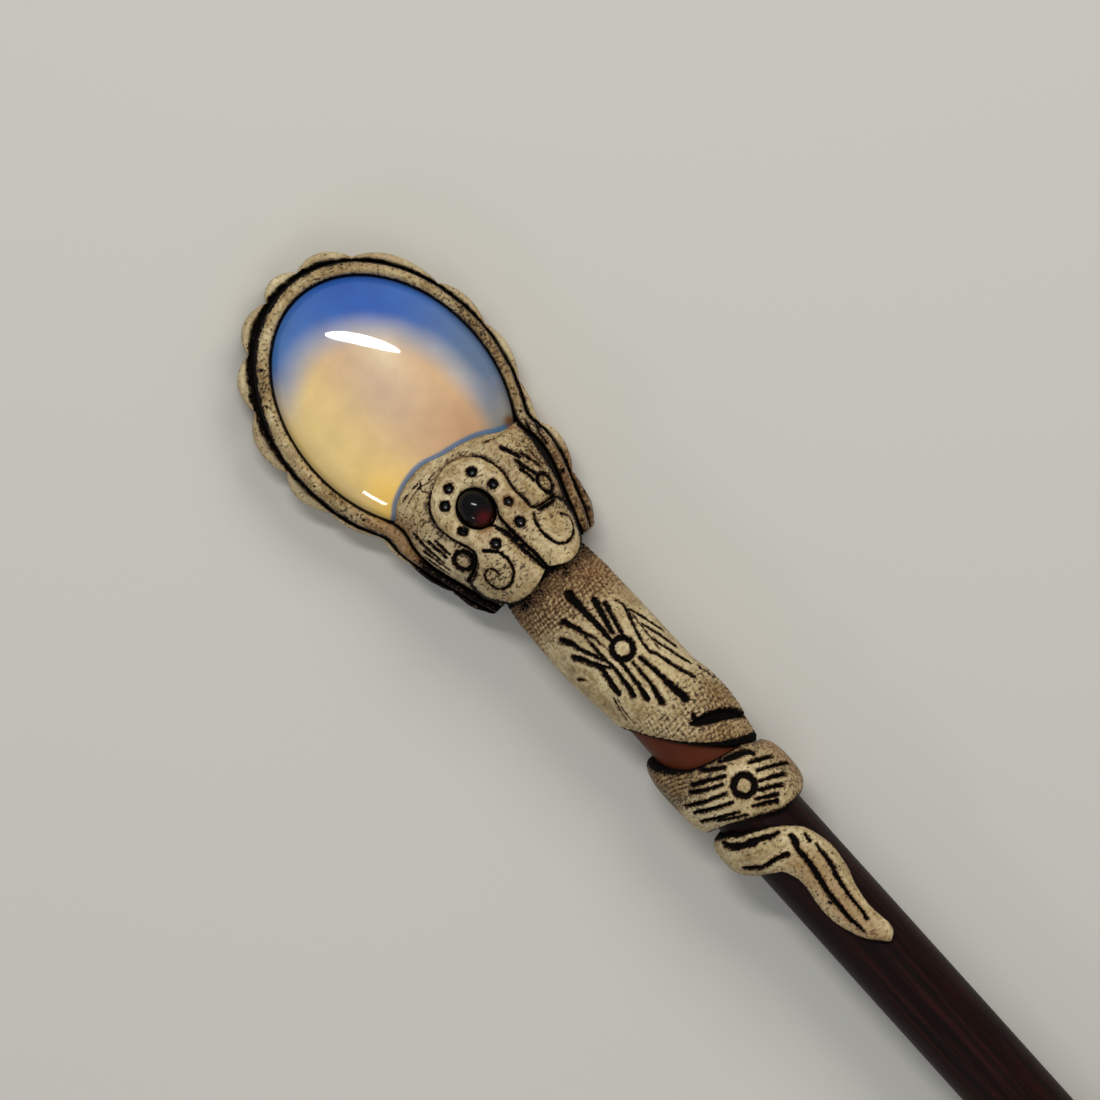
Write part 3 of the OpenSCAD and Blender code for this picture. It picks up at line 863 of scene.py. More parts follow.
@dataclass(frozen=True)
class PolishedGlass:
    """Opalescent glass, cut as a cabochon and polished.

    It gives the eye clear sharp reflections over a body whose colour comes from the attribute
    tone: milky blue towards the edge and warm where light comes through.
    """

    name: str = "opalescent_glass_polished"
    roughness: float = 0.04
    cloud_mm: float = 2.4
    veil: Stops = ((0.35, "#ececec"), (0.65, "#ffffff"))

    def material(self) -> Material:
        """Builds the material.

        Returns:
            A material that reads the attribute tone.
        """
        m = Mixer.blank(self.name)
        veil = m.ramp(m.cloud(m.here(), 1 / (self.cloud_mm * MM), 2.0), self.veil)
        return m.surface({
            "Base Color": m.blend(0.6, m.mark("tone", "Color"), veil, "MULTIPLY"),
            "Roughness": self.roughness, "IOR": 1.5,
            "Coat Weight": 1.0, "Coat Roughness": 0.02, "Coat IOR": 1.5,
        })


@dataclass(frozen=True)
class PolishedGarnet:
    """Garnet, a dark wine red stone that lets little light out, with a hard polish.

    It gives the eye near black with a red glow to one side and sharp white lights.
    """

    name: str = "garnet_polished"
    roughness: float = 0.4
    coat: float = 0.5
    coat_roughness: float = 0.11

    def material(self) -> Material:
        """Builds the material.

        Returns:
            A material that reads the attribute tone.
        """
        m = Mixer.blank(self.name)
        return m.surface({
            "Base Color": m.mark("tone", "Color"), "Roughness": self.roughness, "IOR": 1.45,
            "Specular IOR Level": 0.02, "Coat Weight": self.coat,
            "Coat Roughness": self.coat_roughness,
        })


@dataclass(frozen=True)
class PlainFloor:
    """A plain pale studio floor of painted board, without a pattern."""

    name: str = "pale_board"
    hue: str = "#c3c1b9"

    def material(self) -> Material:
        """Returns an even, matt material."""
        return Mixer.blank(self.name).surface({"Base Color": linear(self.hue), "Roughness": 0.85})


# Shapes that the setting's pieces share


@dataclass(frozen=True)
class Setting:
    """Sizes in mm and curves that the pieces round the stone have in common.

    Attributes:
        lean: How far the clay leans along and across, for each lean_w of distance outwards.
        edge_slim: Where the edge starts to narrow, over what length, both as shares of the
            stone's half length, and what share of it is left.
        bead_slim: Where the bead starts to narrow, and over what length.
        hood_edge: The hood's edge over the stone, as shares of the opening's half length.
        wings: The flank's course between end_half and wing_half.
        scallops: Where the scallops meet, as shares of the outline.
        rise: The hood's rise from its edge to the stick.
    """

    stone_a: float = 14.5
    stone_b: float = 11.0
    lip_w: float = 0.45
    gap: float = 0.05
    ledge_t: float = 1.6
    ledge_w: float = 1.2
    girdle_z: float = 4.15
    dome_h: float = 4.2
    seat_z: float = 3.6
    bead_w: float = 1.45
    bead_h: float = 2.9
    rim_w: float = 0.4
    rim_h: float = 0.9
    scallop_d: float = 0.9
    scallop_power: float = 0.75
    groove_w: float = 0.08
    head_end: float = 22.6
    wing_half: float = 8.2
    end_half: float = 5.4
    join_share: float = 0.605
    join_fade: float = 5.0
    join_power: float = 10.0
    lean_w: float = 1.55
    lean: Pair = (-0.3, -0.42)
    edge_slim: tuple[float, float, float] = (-0.2, 0.85, 0.3)
    bead_slim: Pair = (0.72, 0.55)
    bead_w_share: float = 0.3
    bead_h_share: float = 0.6
    hood_t: float = 1.0
    hood_low: float = 6.0
    hood_power: float = 2.4
    hood_top: float = 11.4
    hood_edge: tuple[float, ...] = (0.655, 0.565, 0.505, 0.484, 0.525, 0.556, 0.605, 0.675, 0.7)
    stick_r: float = 4.15
    stick_x: float = 16.2
    stick_y: float = -0.3
    stick_z: float = 6.0
    hood_at: float = 0.484
    end_round: float = 1.5
    end_draw: float = 0.6
    end_keep: float = 0.5
    fine_steps: int = 6000
    flank_steps: float = 15.0
    arc_steps: float = 26.0
    wings: tuple[float, ...] = (0.43, 0.79, 1, 0.95, 0.75, 0.5, 0.27, 0)
    scallops: tuple[float, ...] = (
        0, 0.075, 0.14, 0.208, 0.27, 0.328, 0.418, 0.48, 0.528,
        0.588, 0.645, 0.71, 0.766, 0.82, 0.878, 0.94, 1,
    )
    rise: tuple[float, ...] = (0, 0.4, 0.67, 0.84, 0.94, 1)

    @property
    def open_a(self) -> float:
        """Half length of the stone's opening."""
        return self.stone_a - self.lip_w

    @property
    def open_b(self) -> float:
        """Half width of the stone's opening."""
        return self.stone_b - self.lip_w

    @property
    def bore_r(self) -> float:
        """Radius of the hollow round the stick."""
        return self.stick_r + self.gap

    @property
    def join_x(self) -> float:
        """Where the oval flows into the wings' flanks."""
        return self.open_a * self.join_share

    @property
    def last(self) -> float:
        """The outline's last place, counted in steps."""
        return 2 * (self.flank_steps + self.arc_steps)

    @property
    def hood_x(self) -> float:
        """Where the middle of the hood's edge over the stone lies."""
        return self.open_a * self.hood_at

    def half_at(self, x: Array) -> Array:
        """Finds half the width of the opening.

        Formula: the tenth root of the sum of the tenth powers of the oval's half width and the
        wings' half width, which is nearly the larger of the two with a soft change between.

        Args:
            x: Places along the stick.

        Returns:
            Half the width at each place.
        """
        oval = self.open_b * np.sqrt(np.clip(1 - (x / self.open_a) ** 2, 0, None))
        share = spread(np.array(self.wings), (x - self.join_x) / (self.head_end - self.join_x))
        fade = np.clip(1 - (self.join_x - x) / self.join_fade, 0, 1)
        wings = lerp(self.end_half, self.wing_half, share) * fade
        return (oval ** self.join_power + wings ** self.join_power) ** (1 / self.join_power)

    def mid_at(self, x: Array) -> Array:
        """Returns the middle across the setting, which shifts from the stone's to the stick's."""
        return self.stick_y * smooth((x - self.join_x) / (self.head_end - self.join_x))

    def outline(self, q: Array) -> Array:
        """Follows the opening from one end of the setting round the stone to the other.

        Args:
            q: Places along it, counted in steps from 0 to the last.

        Returns:
            A point in the plane for each place.
        """
        half_way = self.flank_steps + self.arc_steps
        side = np.where(q <= half_way, 1.0, -1.0)
        k = np.where(q <= half_way, q, self.last - q)
        turn = lerp(math.acos(self.join_share), math.pi, (k - self.flank_steps) / self.arc_steps)
        flank = lerp(self.head_end, self.join_x, k / self.flank_steps)
        x = np.where(k < self.flank_steps, flank, self.open_a * np.cos(turn))
        return np.stack([x, self.mid_at(x) + side * self.half_at(x)], -1)

    def even_places(self, count: int) -> Array:
        """Returns places on the outline that are evenly spaced in mm."""
        q = np.linspace(0, self.last, self.fine_steps)
        steps = np.linalg.norm(np.diff(self.outline(q), axis=0), axis=1)
        run = np.concatenate([[0], np.cumsum(steps)])
        return np.interp(np.linspace(0, run[-1], count), run, q)

    def kept(self, q: Array, start: float, length: float, least: float) -> Array:
        """Finds what a size keeps of itself on the side where the bead and the edge narrow.

        Formula: an S-shaped fall from 1 to the least share, in place along the stick.

        Args:
            q: Places along the outline.
            start: Where the fall starts along the stick, in mm.
            length: How long it is in mm.
            least: The share that is left.

        Returns:
            A share for each place.
        """
        fall = smooth((self.outline(q)[..., 0] - start) / length)
        return np.where(q <= self.flank_steps + self.arc_steps, 1.0, lerp(1.0, least, fall))

    def bead_kept(self, q: Array, least: float) -> Array:
        """Returns what the bead's width or height keeps of itself beside the hood's wing."""
        start, length = self.bead_slim
        return self.kept(q, start * self.stone_a, length * (self.head_end - self.stone_a), least)

    def beside(self, q: Array, off: Number) -> Array:
        """Finds points beside the outline, cut off level with the setting's end.

        Formula: the outline's point moved square to its course, and leaning a little to one
        side in proportion to the distance beyond the stone's edge. On the side that narrows
        the bead's and the edge's part of the distance shrink, and the groove's stays.

        Args:
            q: Places along the outline.
            off: Distance outside it in mm.

        Returns:
            A point in the plane for each place.
        """
        way = self.outline(np.minimum(q + 2, self.last)) - self.outline(np.maximum(q - 2, 0))
        way = way / np.linalg.norm(way, axis=-1, keepdims=True)
        off = np.broadcast_to(off, q.shape)
        foot = self.lip_w + self.gap
        start, length, least = self.edge_slim
        edge = np.maximum(0, off - self.bead_w - self.groove_w)
        edge = edge * self.kept(q, start * self.stone_a, length * self.stone_a, least)
        bead = (np.clip(off, foot, self.bead_w) - foot) * self.bead_kept(q, self.bead_w_share)
        far = np.minimum(off, foot) + bead + np.clip(off - self.bead_w, 0, self.groove_w) + edge
        out = np.stack([way[..., 1], -way[..., 0]], -1)
        lean = np.maximum(0, far - foot)[..., None] / self.lean_w * np.array(self.lean)
        p = self.outline(q) + far[..., None] * out + lean
        share = np.clip(np.minimum(q, self.last - q), 0, 1)
        p[..., 0] = lerp(self.head_end, np.minimum(p[..., 0], self.head_end), share)
        return p

    def rounded_end(self, q: Array) -> Array:
        """Returns a quarter circle's fall from 0 to 1 over the last stretch before the end."""
        x = self.outline(q)[..., 0]
        t = np.clip((x - self.head_end + self.end_round) / self.end_round, 0, 1)
        return 1 - np.sqrt(1 - t ** 2)

    def drawn_in(self, q: Array, off: Number) -> Array:
        """Returns a distance from the outline, made smaller where the setting's end is rounded."""
        return off - self.end_draw * np.maximum(off - self.end_keep, 0) * self.rounded_end(q)

    def scallop(self, q: Array) -> Array:
        """Returns how far the scalloped edge stands out: a sine arch over each scallop."""
        s, starts = q / self.last, np.array(self.scallops)
        i = np.clip(np.searchsorted(starts, s, side="right") - 1, 0, len(starts) - 2)
        t = np.clip((s - starts[i]) / (starts[i + 1] - starts[i]), 0, 1)
        return np.abs(np.sin(math.pi * t)) ** self.scallop_power

    def stone_top(self, x: Array, y: Array) -> Array:
        """Returns the stone's height: half an ellipsoid on the straight edge."""
        inside = 1 - (x / self.stone_a) ** 2 - (y / self.stone_b) ** 2
        return self.girdle_z + self.dome_h * np.sqrt(np.clip(inside, 0, None))

    def hollow(self, x: Array, y: Array) -> tuple[Array, Array]:
        """Returns whether a place lies in the stick's hollow, and half the hollow's height."""
        room = self.bore_r ** 2 - (y - self.stick_y) ** 2
        return (x > self.stick_x - self.gap) & (room > 0), np.sqrt(np.clip(room, 0, None))

    def over_stick(self, x: Array, y: Array, low: Number) -> Array:
        """Returns the top of the hollow for the stick, or the lower level away from it."""
        near, half = self.hollow(x, y)
        return np.where(near, np.maximum(self.stick_z + half, low), low)

    def under_stick(self, x: Array, y: Array) -> Array:
        """Returns the height of the rim's seat, lower in the trough for the stick."""
        near, half = self.hollow(x, y)
        return np.where(near, np.minimum(self.stick_z - half, self.seat_z), self.seat_z)

    def hood_height(self, x: Array, w: Array) -> Array:
        """Returns the hood's height: an arch across, rising towards the stick."""
        start = self.stone_top(np.array(self.hood_x), np.array(0.0)) + self.hood_t
        length = self.head_end - self.hood_x
        share = spread(np.array(self.rise), (np.minimum(x, self.head_end) - self.hood_x) / length)
        return lerp(self.hood_low, lerp(start, self.hood_top, share), arch(w, self.hood_power))

    def hood_place(self, s: Array, w: Array) -> tuple[Array, Array]:
        """Returns the point at a share along the hood and across it."""
        x = self.hood_x + s * (self.head_end - self.hood_x)
        xc = np.minimum(x, self.head_end)
        return x, self.mid_at(xc) + w * self.half_at(xc)

    def round_stick(self, x: Array, r: Array, a: Array) -> Array:
        """Returns points at a radius from the stick's middle and an angle, 0 being the top."""
        return joined(x, self.stick_y + r * np.sin(a), self.stick_z + r * np.cos(a))

    def unrolled(self, x: Array, y: Array, r: float) -> Array:
        """Returns a place seen from above as place along the stick and length of arc round it."""
        return joined(x, r * np.arcsin(np.clip((y - self.stick_y) / r, -1, 1)), 0)

    def across(self, x: Array, y: Array) -> Array:
        """Returns the share across the hood at a point."""
        xc = np.minimum(x, self.head_end)
        return (y - self.mid_at(xc)) / self.half_at(xc)


# Pieces


@dataclass
class Stone:
    """The oval glass stone, a flat back and a straight edge below a polished dome.

    Attributes:
        bottom: Height of its flat back in mm.
        top_open: What the dome's quarter turn leaves open at the top, in radians.
        hues: The colours of the glass with its painted glow and shade, and of what shows at its
            edges.
    """

    setting: Setting
    finish: PolishedGlass
    bottom: float = 1.65
    rows: int = 110
    columns: int = 480
    top_open: float = 0.004
    hues: tuple[tuple[str, str], ...] = (
        ("deep", "#2f5cae"), ("sky", "#4f7ab6"), ("mist", "#5e7390"), ("olive", "#8a8578"),
        ("milk", "#b9b3ae"), ("peach", "#dcb486"), ("lilac", "#cbae90"), ("honey", "#eacb85"),
        ("amber", "#ffcf62"), ("cream", "#f0dcb6"), ("hood_shade", "#bd936a"), ("line", "#3f6f9a"),
        ("rub", "#17110d"), ("rust", "#6e451f"),
    )

    def tone(self, x: Array, y: Array) -> Array:
        """Works out the glass's colour at each place.

        Formula: a warm oval with a soft edge lies on a blue ground that greys towards the
        upper right. The warm oval is a painted glow of light coming through the glass. Inside it
        the amber grows towards the lower right corner, a lilac haze lies a little left of the
        middle, and a painted shade darkens it towards the hood. A blue line follows the hood's
        edge, and a thin black one the bead's.

        Args:
            x: Places along the stone in mm.
            y: Places across it in mm.

        Returns:
            A linear colour with alpha for each place.
        """
        s = self.setting
        hue = {name: np.array(linear(value)) for name, value in self.hues}

        def lay(under: Array, name: str, share: Array) -> Array:
            """Returns a colour with a share of a named one laid over it."""
            return lerp(under, hue[name], np.clip(share, 0, 1)[..., None])

        ragged = 0.3 * noise(joined(x, y, 0 * x), 2.6, 41)
        cold = lay(hue["sky"], "deep", bell((y - 4) / 7))
        cold = lay(cold, "mist", smooth((x + 8) / 11) * smooth((y + 2) / 5))
        cold = lay(cold, "olive", smooth((x - 3) / 7) * smooth(y / 4))
        cold = lay(cold, "honey", smooth((x + 11.5) / 6) * smooth((-y - 6) / 2.5))
        # Painted glow: the warm colours stand for light coming through the glass.
        warm = lay(hue["peach"], "lilac", spot(x, y, (-1.5, -0.8), (5.5, 4.2)))
        warm = lay(warm, "cream", 0.7 * spot(x, y, (-5, 2.6), (3.5, 2)))
        warm = lay(warm, "honey", smooth((0.5 - y) / 8))
        warm = lay(warm, "amber", spot(x, y, (7.6, -7.4), (3.6, 3.4)))
        # Painted shade towards the hood.
        warm = lay(warm, "hood_shade", 0.8 * smooth((x - 1) / 6) * bell((y - 4) / 4))
        inside = np.hypot((x - 3.2) / 12.3, (y + 2.6 + ragged) / 9.3)
        cold = lay(cold, "milk", 0.75 * smooth((1.22 - inside) / 0.24) * smooth((8 - x) / 6))
        colour = lerp(cold, warm, smooth((1.06 - inside) / 0.24)[..., None])
        colour = lay(colour, "honey", smooth((-y - 7.4) / 2.2) * smooth((x + 8) / 4))
        w = np.clip(s.across(x, y), -1, 1)
        to_hood = s.open_a * spread(np.array(s.hood_edge), (w + 1) / 2) - x
        colour = lay(colour, "line", 0.85 * smooth((0.6 - to_hood) / 0.24))
        rust = np.hypot((x - 9.3) / 0.8, (y - 7.3) / 0.75)
        colour = lay(colour, "rust", 0.9 * smooth(1.25 - rust))
        to_edge = (1 - np.hypot(x / s.open_a, y / s.open_b)) * s.open_b
        return lay(colour, "rub", smooth((0.16 - to_edge) / 0.1))

    def build(self) -> Object:
        """Builds the stone.

        Formula: rings of the oval shrunk by the cosine of a turn from 0 to 90 degrees and
        raised by its sine, above the straight edge and the flat back.

        Returns:
            The stone's object.
        """
        s = self.setting
        turn = np.linspace(0, math.pi / 2 - self.top_open, self.rows)
        edge = np.array([self.bottom, self.bottom + 0.05, self.bottom + 0.2, s.girdle_z - 0.3])
        shares = np.concatenate([[0.97, 0.995, 1.0, 1.0], np.cos(turn)])
        heights = np.concatenate([edge, s.girdle_z + s.dome_h * np.sin(turn)])
        x, y, z = cabochon((s.stone_a, s.stone_b), shares, heights, self.columns)
        tones = {"tone": self.tone(x, y)}
        piece = skin("glass_stone", joined(x, y, z), tones, Ends.FAN, self.finish.material())
        stand_for(piece, "stone")
        return piece


@dataclass
class Rim:
    """The setting's back plate with its scalloped edge, open below the stone.

    Attributes:
        plate: Shares of the way from the hole's edge to the wall's foot.
        wall: The wall's corners: how far inwards and how high, in mm.
        groove: The groove's corners: how far outside the opening and how far sunk, in mm.
    """

    setting: Setting
    clay: Material
    columns: int = 700
    closing: int = 42
    petal_rows: int = 26
    seat_rows: int = 14
    foot_in: float = 0.5
    plate: tuple[float, ...] = (0, 0.3, 0.7)
    wall: Table = (
        (0.2, 0.2), (0.04, 0.5), (0, 0.9), (0, 1.6), (0, 2.3), (0, 3.0),
    )
    groove: Table = ((1.52, 0.38), (1.46, 0.3), (1.38, 0.1))
    seat_off: float = 1.3
    petal_power: float = 2.4
    end_edge: float = 0.25
    end_share: float = 0.85

    def black_width(self, q: Array, edge: Array) -> Array:
        """Works out how wide the black line beside the bead is.

        Formula: wider on the lower left side of the stone, and uneven by noise.

        Args:
            q: Places along the outline.
            edge: The outline's points there.

        Returns:
            A width in mm for each place.
        """
        run = np.repeat(q[:, None], 3, 1)
        low_left = bell((edge[:, 0] + 12) / 8) * lerp(0.25, 1, smooth((3 - edge[:, 1]) / 7))
        uneven = 0.1 * noise(run, 1.7, 53) + 0.1 * noise(run, 0.4, 54)
        return np.maximum(0.1 + 0.25 * low_left + uneven, 0.05)

    def sections(self, q: Array, share: Array) -> tuple[Array, Array, Array]:
        """Lays out the rim as a closed ring of sections.

        Formula: each section runs from the hole's edge out along the flat back, up the wall,
        over a petal's dome, down into the groove beside the bead, inwards over the seat and
        down past the ledge. Sections across the setting's end close the ring.

        Args:
            q: Places along the outline.
            share: How far the scalloped edge stands out at each of them, from 0 to 1.

        Returns:
            The points, how much of the relief moves them, and how black the groove is there.
        """
        s = self.setting
        outer, inner = s.bead_w + s.rim_w + s.scallop_d * share, s.bead_w + s.groove_w
        outer = lerp(outer, inner + self.end_edge, self.end_share * s.rounded_end(q))
        low_y, high_y = s.outline(np.array([s.last, 0.0]))[:, 1]
        end_y = np.linspace(low_y, high_y, self.closing + 2)[1:-1]
        end = np.stack([np.full_like(end_y, s.head_end), end_y], -1)
        edge = np.concatenate([s.outline(q), end])
        turn = np.arctan2(edge[:, 1] / s.stone_b, edge[:, 0] / s.stone_a)
        top = s.under_stick(end[:, 0], end[:, 1])
        rows, lively, blacks = [], [], []

        def oval(shrink: float) -> Array:
            """Returns the stone's oval, made smaller, at each section."""
            half = (s.stone_a - shrink) * np.cos(turn), (s.stone_b - shrink) * np.sin(turn)
            return np.stack(half, -1)

        def add(flat: Array, z: Number, life: float) -> None:
            """Adds one line of points, and how far relief moves it."""
            rows.append(joined(flat[:, 0], flat[:, 1], z))
            lively.append(life)

        def ring(off: Number) -> Array:
            """Returns one line of points round the setting in the plane."""
            return np.concatenate([s.beside(q, s.drawn_in(q, off)), end])

        def rise(z: Number, end_z: Array) -> Array:
            """Returns heights round the setting and across its end."""
            return np.concatenate([np.broadcast_to(z, q.shape), end_z])

        hole, pocket, foot = oval(s.ledge_w), oval(-s.gap), ring(outer - self.foot_in)
        for t in self.plate:
            add(lerp(hole, foot, t), 0, 0.0)
        add(foot, 0, 0.0)
        for k, (inwards, z) in enumerate(self.wall):
            add(ring(outer - inwards), rise(z, top * z / s.seat_z), max(0.0, (k - 3) / 2))
        first = len(rows)
        black_w = self.black_width(q, edge[:self.columns])
        petal_w = np.maximum(outer - inner - black_w, 0.18)
        for t in np.linspace(0, 1, self.petal_rows):
            off = lerp(outer, inner, t)
            across = np.clip((outer - off) / petal_w, 0, 1)
            swell = dome(0.03 + 0.97 * across, self.petal_power) * (0.72 + 0.28 * share)
            z = s.seat_z - 0.4 * smooth(across * 4 - 3) + s.rim_h * swell
            add(ring(off - 0.02), rise(z, top), 1.0)
            blacks.append(np.clip((black_w + inner - off + 0.3) / 0.42, 0, 1))
        for off, sink in self.groove:
            add(ring(off), rise(s.seat_z - sink, np.minimum(top, s.seat_z)), 0.4)
        seat = ring(self.seat_off)
        for t in np.linspace(0, 1, self.seat_rows):
            flat = lerp(seat, pocket, t)
            add(flat, s.under_stick(flat[:, 0], flat[:, 1]), 0.0)
        add(pocket, s.ledge_t, 0.0)
        add(hole, s.ledge_t, 0.0)
        points = np.stack(rows)
        groove = np.zeros(points.shape[:2])
        groove[first:first + self.petal_rows, :self.columns] = np.stack(blacks)
        groove[first + self.petal_rows:] = 1.0
        on_ring = np.concatenate([np.ones(self.columns), np.zeros(self.closing)])
        return points, np.array(lively)[:, None] * on_ring, groove

    def build(self) -> Object:
        """Builds the rim, black in its groove and mottled along both flanks, with painted shadow
        on the lower flank and painted light on its petals.

        Returns:
            The rim's object.
        """
        s = self.setting
        q = s.even_places(self.columns)
        share = s.scallop(q)
        points, weight, groove = self.sections(q, share)
        x, y = points[..., 0], points[..., 1]
        valley = np.concatenate([1 - share, np.zeros(self.closing)])
        deep, flank = groove > 0.9, smooth((x - 13) / 4)
        mottle = noise(points, 0.5, 58)
        relief = Relief(points, points, lambda px, py: joined(px, py, s.seat_z + s.rim_h))
        relief.ink = np.clip(groove + 3 * relief.ragged * (groove > 0.1), 0, 1)
        # Painted shadow: black on the lower flank, under the hood's lower wing.
        relief.blacken(0.8 * (smooth((x - 11.5) / 3.5) * (y < 0)))
        relief.blacken((0.4 + 0.3 * noise(points, 1.3, 56) + 0.4 * mottle) * flank)
        relief.cut -= 0.12 * deep * smooth(noise(points, 0.4, 55))
        stain = 0.4 * smooth((valley - 0.3) / 0.6) + 0.3 * noise(points, 4, 51)
        relief.stain = stain + 0.1 + 0.25 * flank
        grime_and_shade = 0.14 + 0.3 * noise(points, 3, 52) + 0.8 * flank
        relief.grime_and_shade = np.where(deep, 0.2, grime_and_shade)
        # Painted light: the petals, which slope away from the light, are made lighter.
        relief.wear_and_highlight += 0.4 * (1 - flank)
        lumps = flank * (0.14 * noise(points, 1.1, 57) + 0.05 * mottle)
        height = (relief.height() + lumps) * weight
        name, cad_node = "clay_scalloped_rim", "scalloped_rim"
        return relief.piece(name, cad_node, height, Ends.JOINED, self.clay, weld=True)


@dataclass
class Bead:
    """The rounded bead of clay round the stone and along both sides of the hood.

    Attributes:
        crown: The section's corners: share of the bead's width, share of its height.
        lip: The corners over the stone: share of the lip's width, clearances above the stone.
        specks: Where specks lie close: middle, reach each way and strength.
    """

    setting: Setting
    clay: Material
    rows: int = 760
    columns: int = 66
    crown: Table = (
        (0.16, 0.91), (0.36, 0.99), (0.56, 1), (0.78, 0.91), (0.94, 0.72), (1, 0.3), (1, 0.02),
    )
    lip: Table = ((1.1, 1), (0.6, 3), (0.25, 2), (0, 1), (-0.03, 6))
    scratches: tuple[Stroke, ...] = (
        Stroke(((-2.6, 11.1, 0.1), (-2.4, 11.5, 0.16)), depth=0.1, ink=0.8),
        Stroke(((11.4, 9.0, 0.12), (12.6, 8.7, 0.16), (13.5, 8.6, 0.1)), depth=0.12, ink=0.9),
        Stroke(((10.2, 8.6, 0.1), (11.6, 8.2, 0.2), (13.1, 8.1, 0.1)), depth=0.12, ink=0.9),
    )
    specks: tuple[tuple[Pair, Pair, float], ...] = (
        ((13, 8.8), (4.5, 2), 0.7), ((1, 11), (5, 1.5), 0.9), ((-9.5, -8.2), (3, 2.5), 0.6),
        ((6, -10.5), (3, 2), 0.4), ((-12.5, 3), (2, 4), 0.3),
    )
    speck_mm: float = 0.9

    def sections(self) -> tuple[Array, Array]:
        """Lays out the bead's sections.

        Formula: a section through the lip over the stone, the crown and the foot is carried
        along the opening's outline, and sinks towards the setting's ends.

        Returns:
            The points, and how far outside the opening each of them lies in mm.
        """
        s = self.setting
        q = s.even_places(self.rows)
        corners, offs = [], []

        def corner(off: float, z: Callable[[Array], Array] | Number) -> None:
            """Adds a corner of the section at every place of the outline."""
            p = s.beside(q, s.drawn_in(q, off))
            corners.append(joined(p[:, 0], p[:, 1], z(p) if callable(z) else z))
            offs.append(off)

        corner(s.lip_w + s.gap, s.seat_z + s.gap)
        for reach, clear in self.lip:
            corner(reach * s.lip_w, lambda p, c=clear: s.stone_top(p[:, 0], p[:, 1]) + s.gap * c)
        kept = s.bead_kept(q, s.bead_h_share)
        for off, z in self.crown:
            corner(off * s.bead_w, s.seat_z + s.gap + (s.bead_h * z - s.gap) * kept)
        places = np.linspace(0, len(corners) - 1, self.columns)
        points = along(np.stack(corners), places).transpose(1, 0, 2)
        off = np.broadcast_to(along(np.array(offs), places), points.shape[:2])
        droop = 0.5 * s.rounded_end(q)[:, None]
        foot = np.minimum(points[..., 2], s.seat_z + s.gap)
        points[..., 2] = lerp(points[..., 2], foot, droop)
        return points, off

    def build(self) -> Object:
        """Builds the bead, black at both edges, with specks, a mottled upper flank and painted
        shadow on the lower flank.

        Returns:
            The bead's object.
        """
        s = self.setting
        points, off = self.sections()
        x, y, z = points[..., 0], points[..., 1], points[..., 2]
        relief = Relief(joined(x, y, 0), points, lambda px, py: joined(px, py, 0))
        relief.press(self.scratches)
        dense = 0.3
        for middle, reach, strength in self.specks:
            dense = dense + strength * spot(x, y, middle, reach)
        dense = np.clip(dense, 0, 1)
        relief.grime_and_shade = dense + 0.5 * smooth((x - 12) / 4)
        low_left = bell((x + 12) / 7) * lerp(0.2, 1, smooth((3 - y) / 7))
        reached = off - 1.14 + 0.18 * low_left + 0.1 * noise(points, 0.9, 34)
        edges = np.maximum(np.clip(reached / 0.3, 0, 1), np.clip((0.3 - off) / 0.24, 0, 1))
        free = smooth((off - 0.25) / 0.2) * smooth((z - s.seat_z - 1.0) / 0.5)
        pits = pores(points, 0.95, 0.26, 0.55, 31)
        chosen = hashed(np.floor(points / self.speck_mm), 8) < dense + 0.2
        relief.blacken(np.clip(0.9 * smooth(2 * pits) * chosen * free, 0, 1))
        height = relief.height() * free - 0.1 * smooth(2 * pits) * free
        relief.blacken(edges + 2 * relief.ragged * (edges > 0.1))
        # Painted shadow: black on the lower flank, under the hood's lower wing.
        relief.blacken(0.8 * (smooth((x - 11.5) / 3.5) * (y < 0)))
        mottle = 0.4 + 0.3 * noise(points, 1.8, 35) + 0.4 * noise(points, 0.5, 36)
        relief.blacken(mottle * smooth((x - 13) / 3) * (y > 0))
        brown = 0.3 * smooth((x - 11) / 4) + 0.6 * smooth((x - 5) / 5) * (y < 0)
        relief.stain = brown + 0.25 * smooth(noise(points, 3.5, 33))
        return relief.piece("clay_bezel_bead", "bezel_bead", height, Ends.FAN, self.clay)


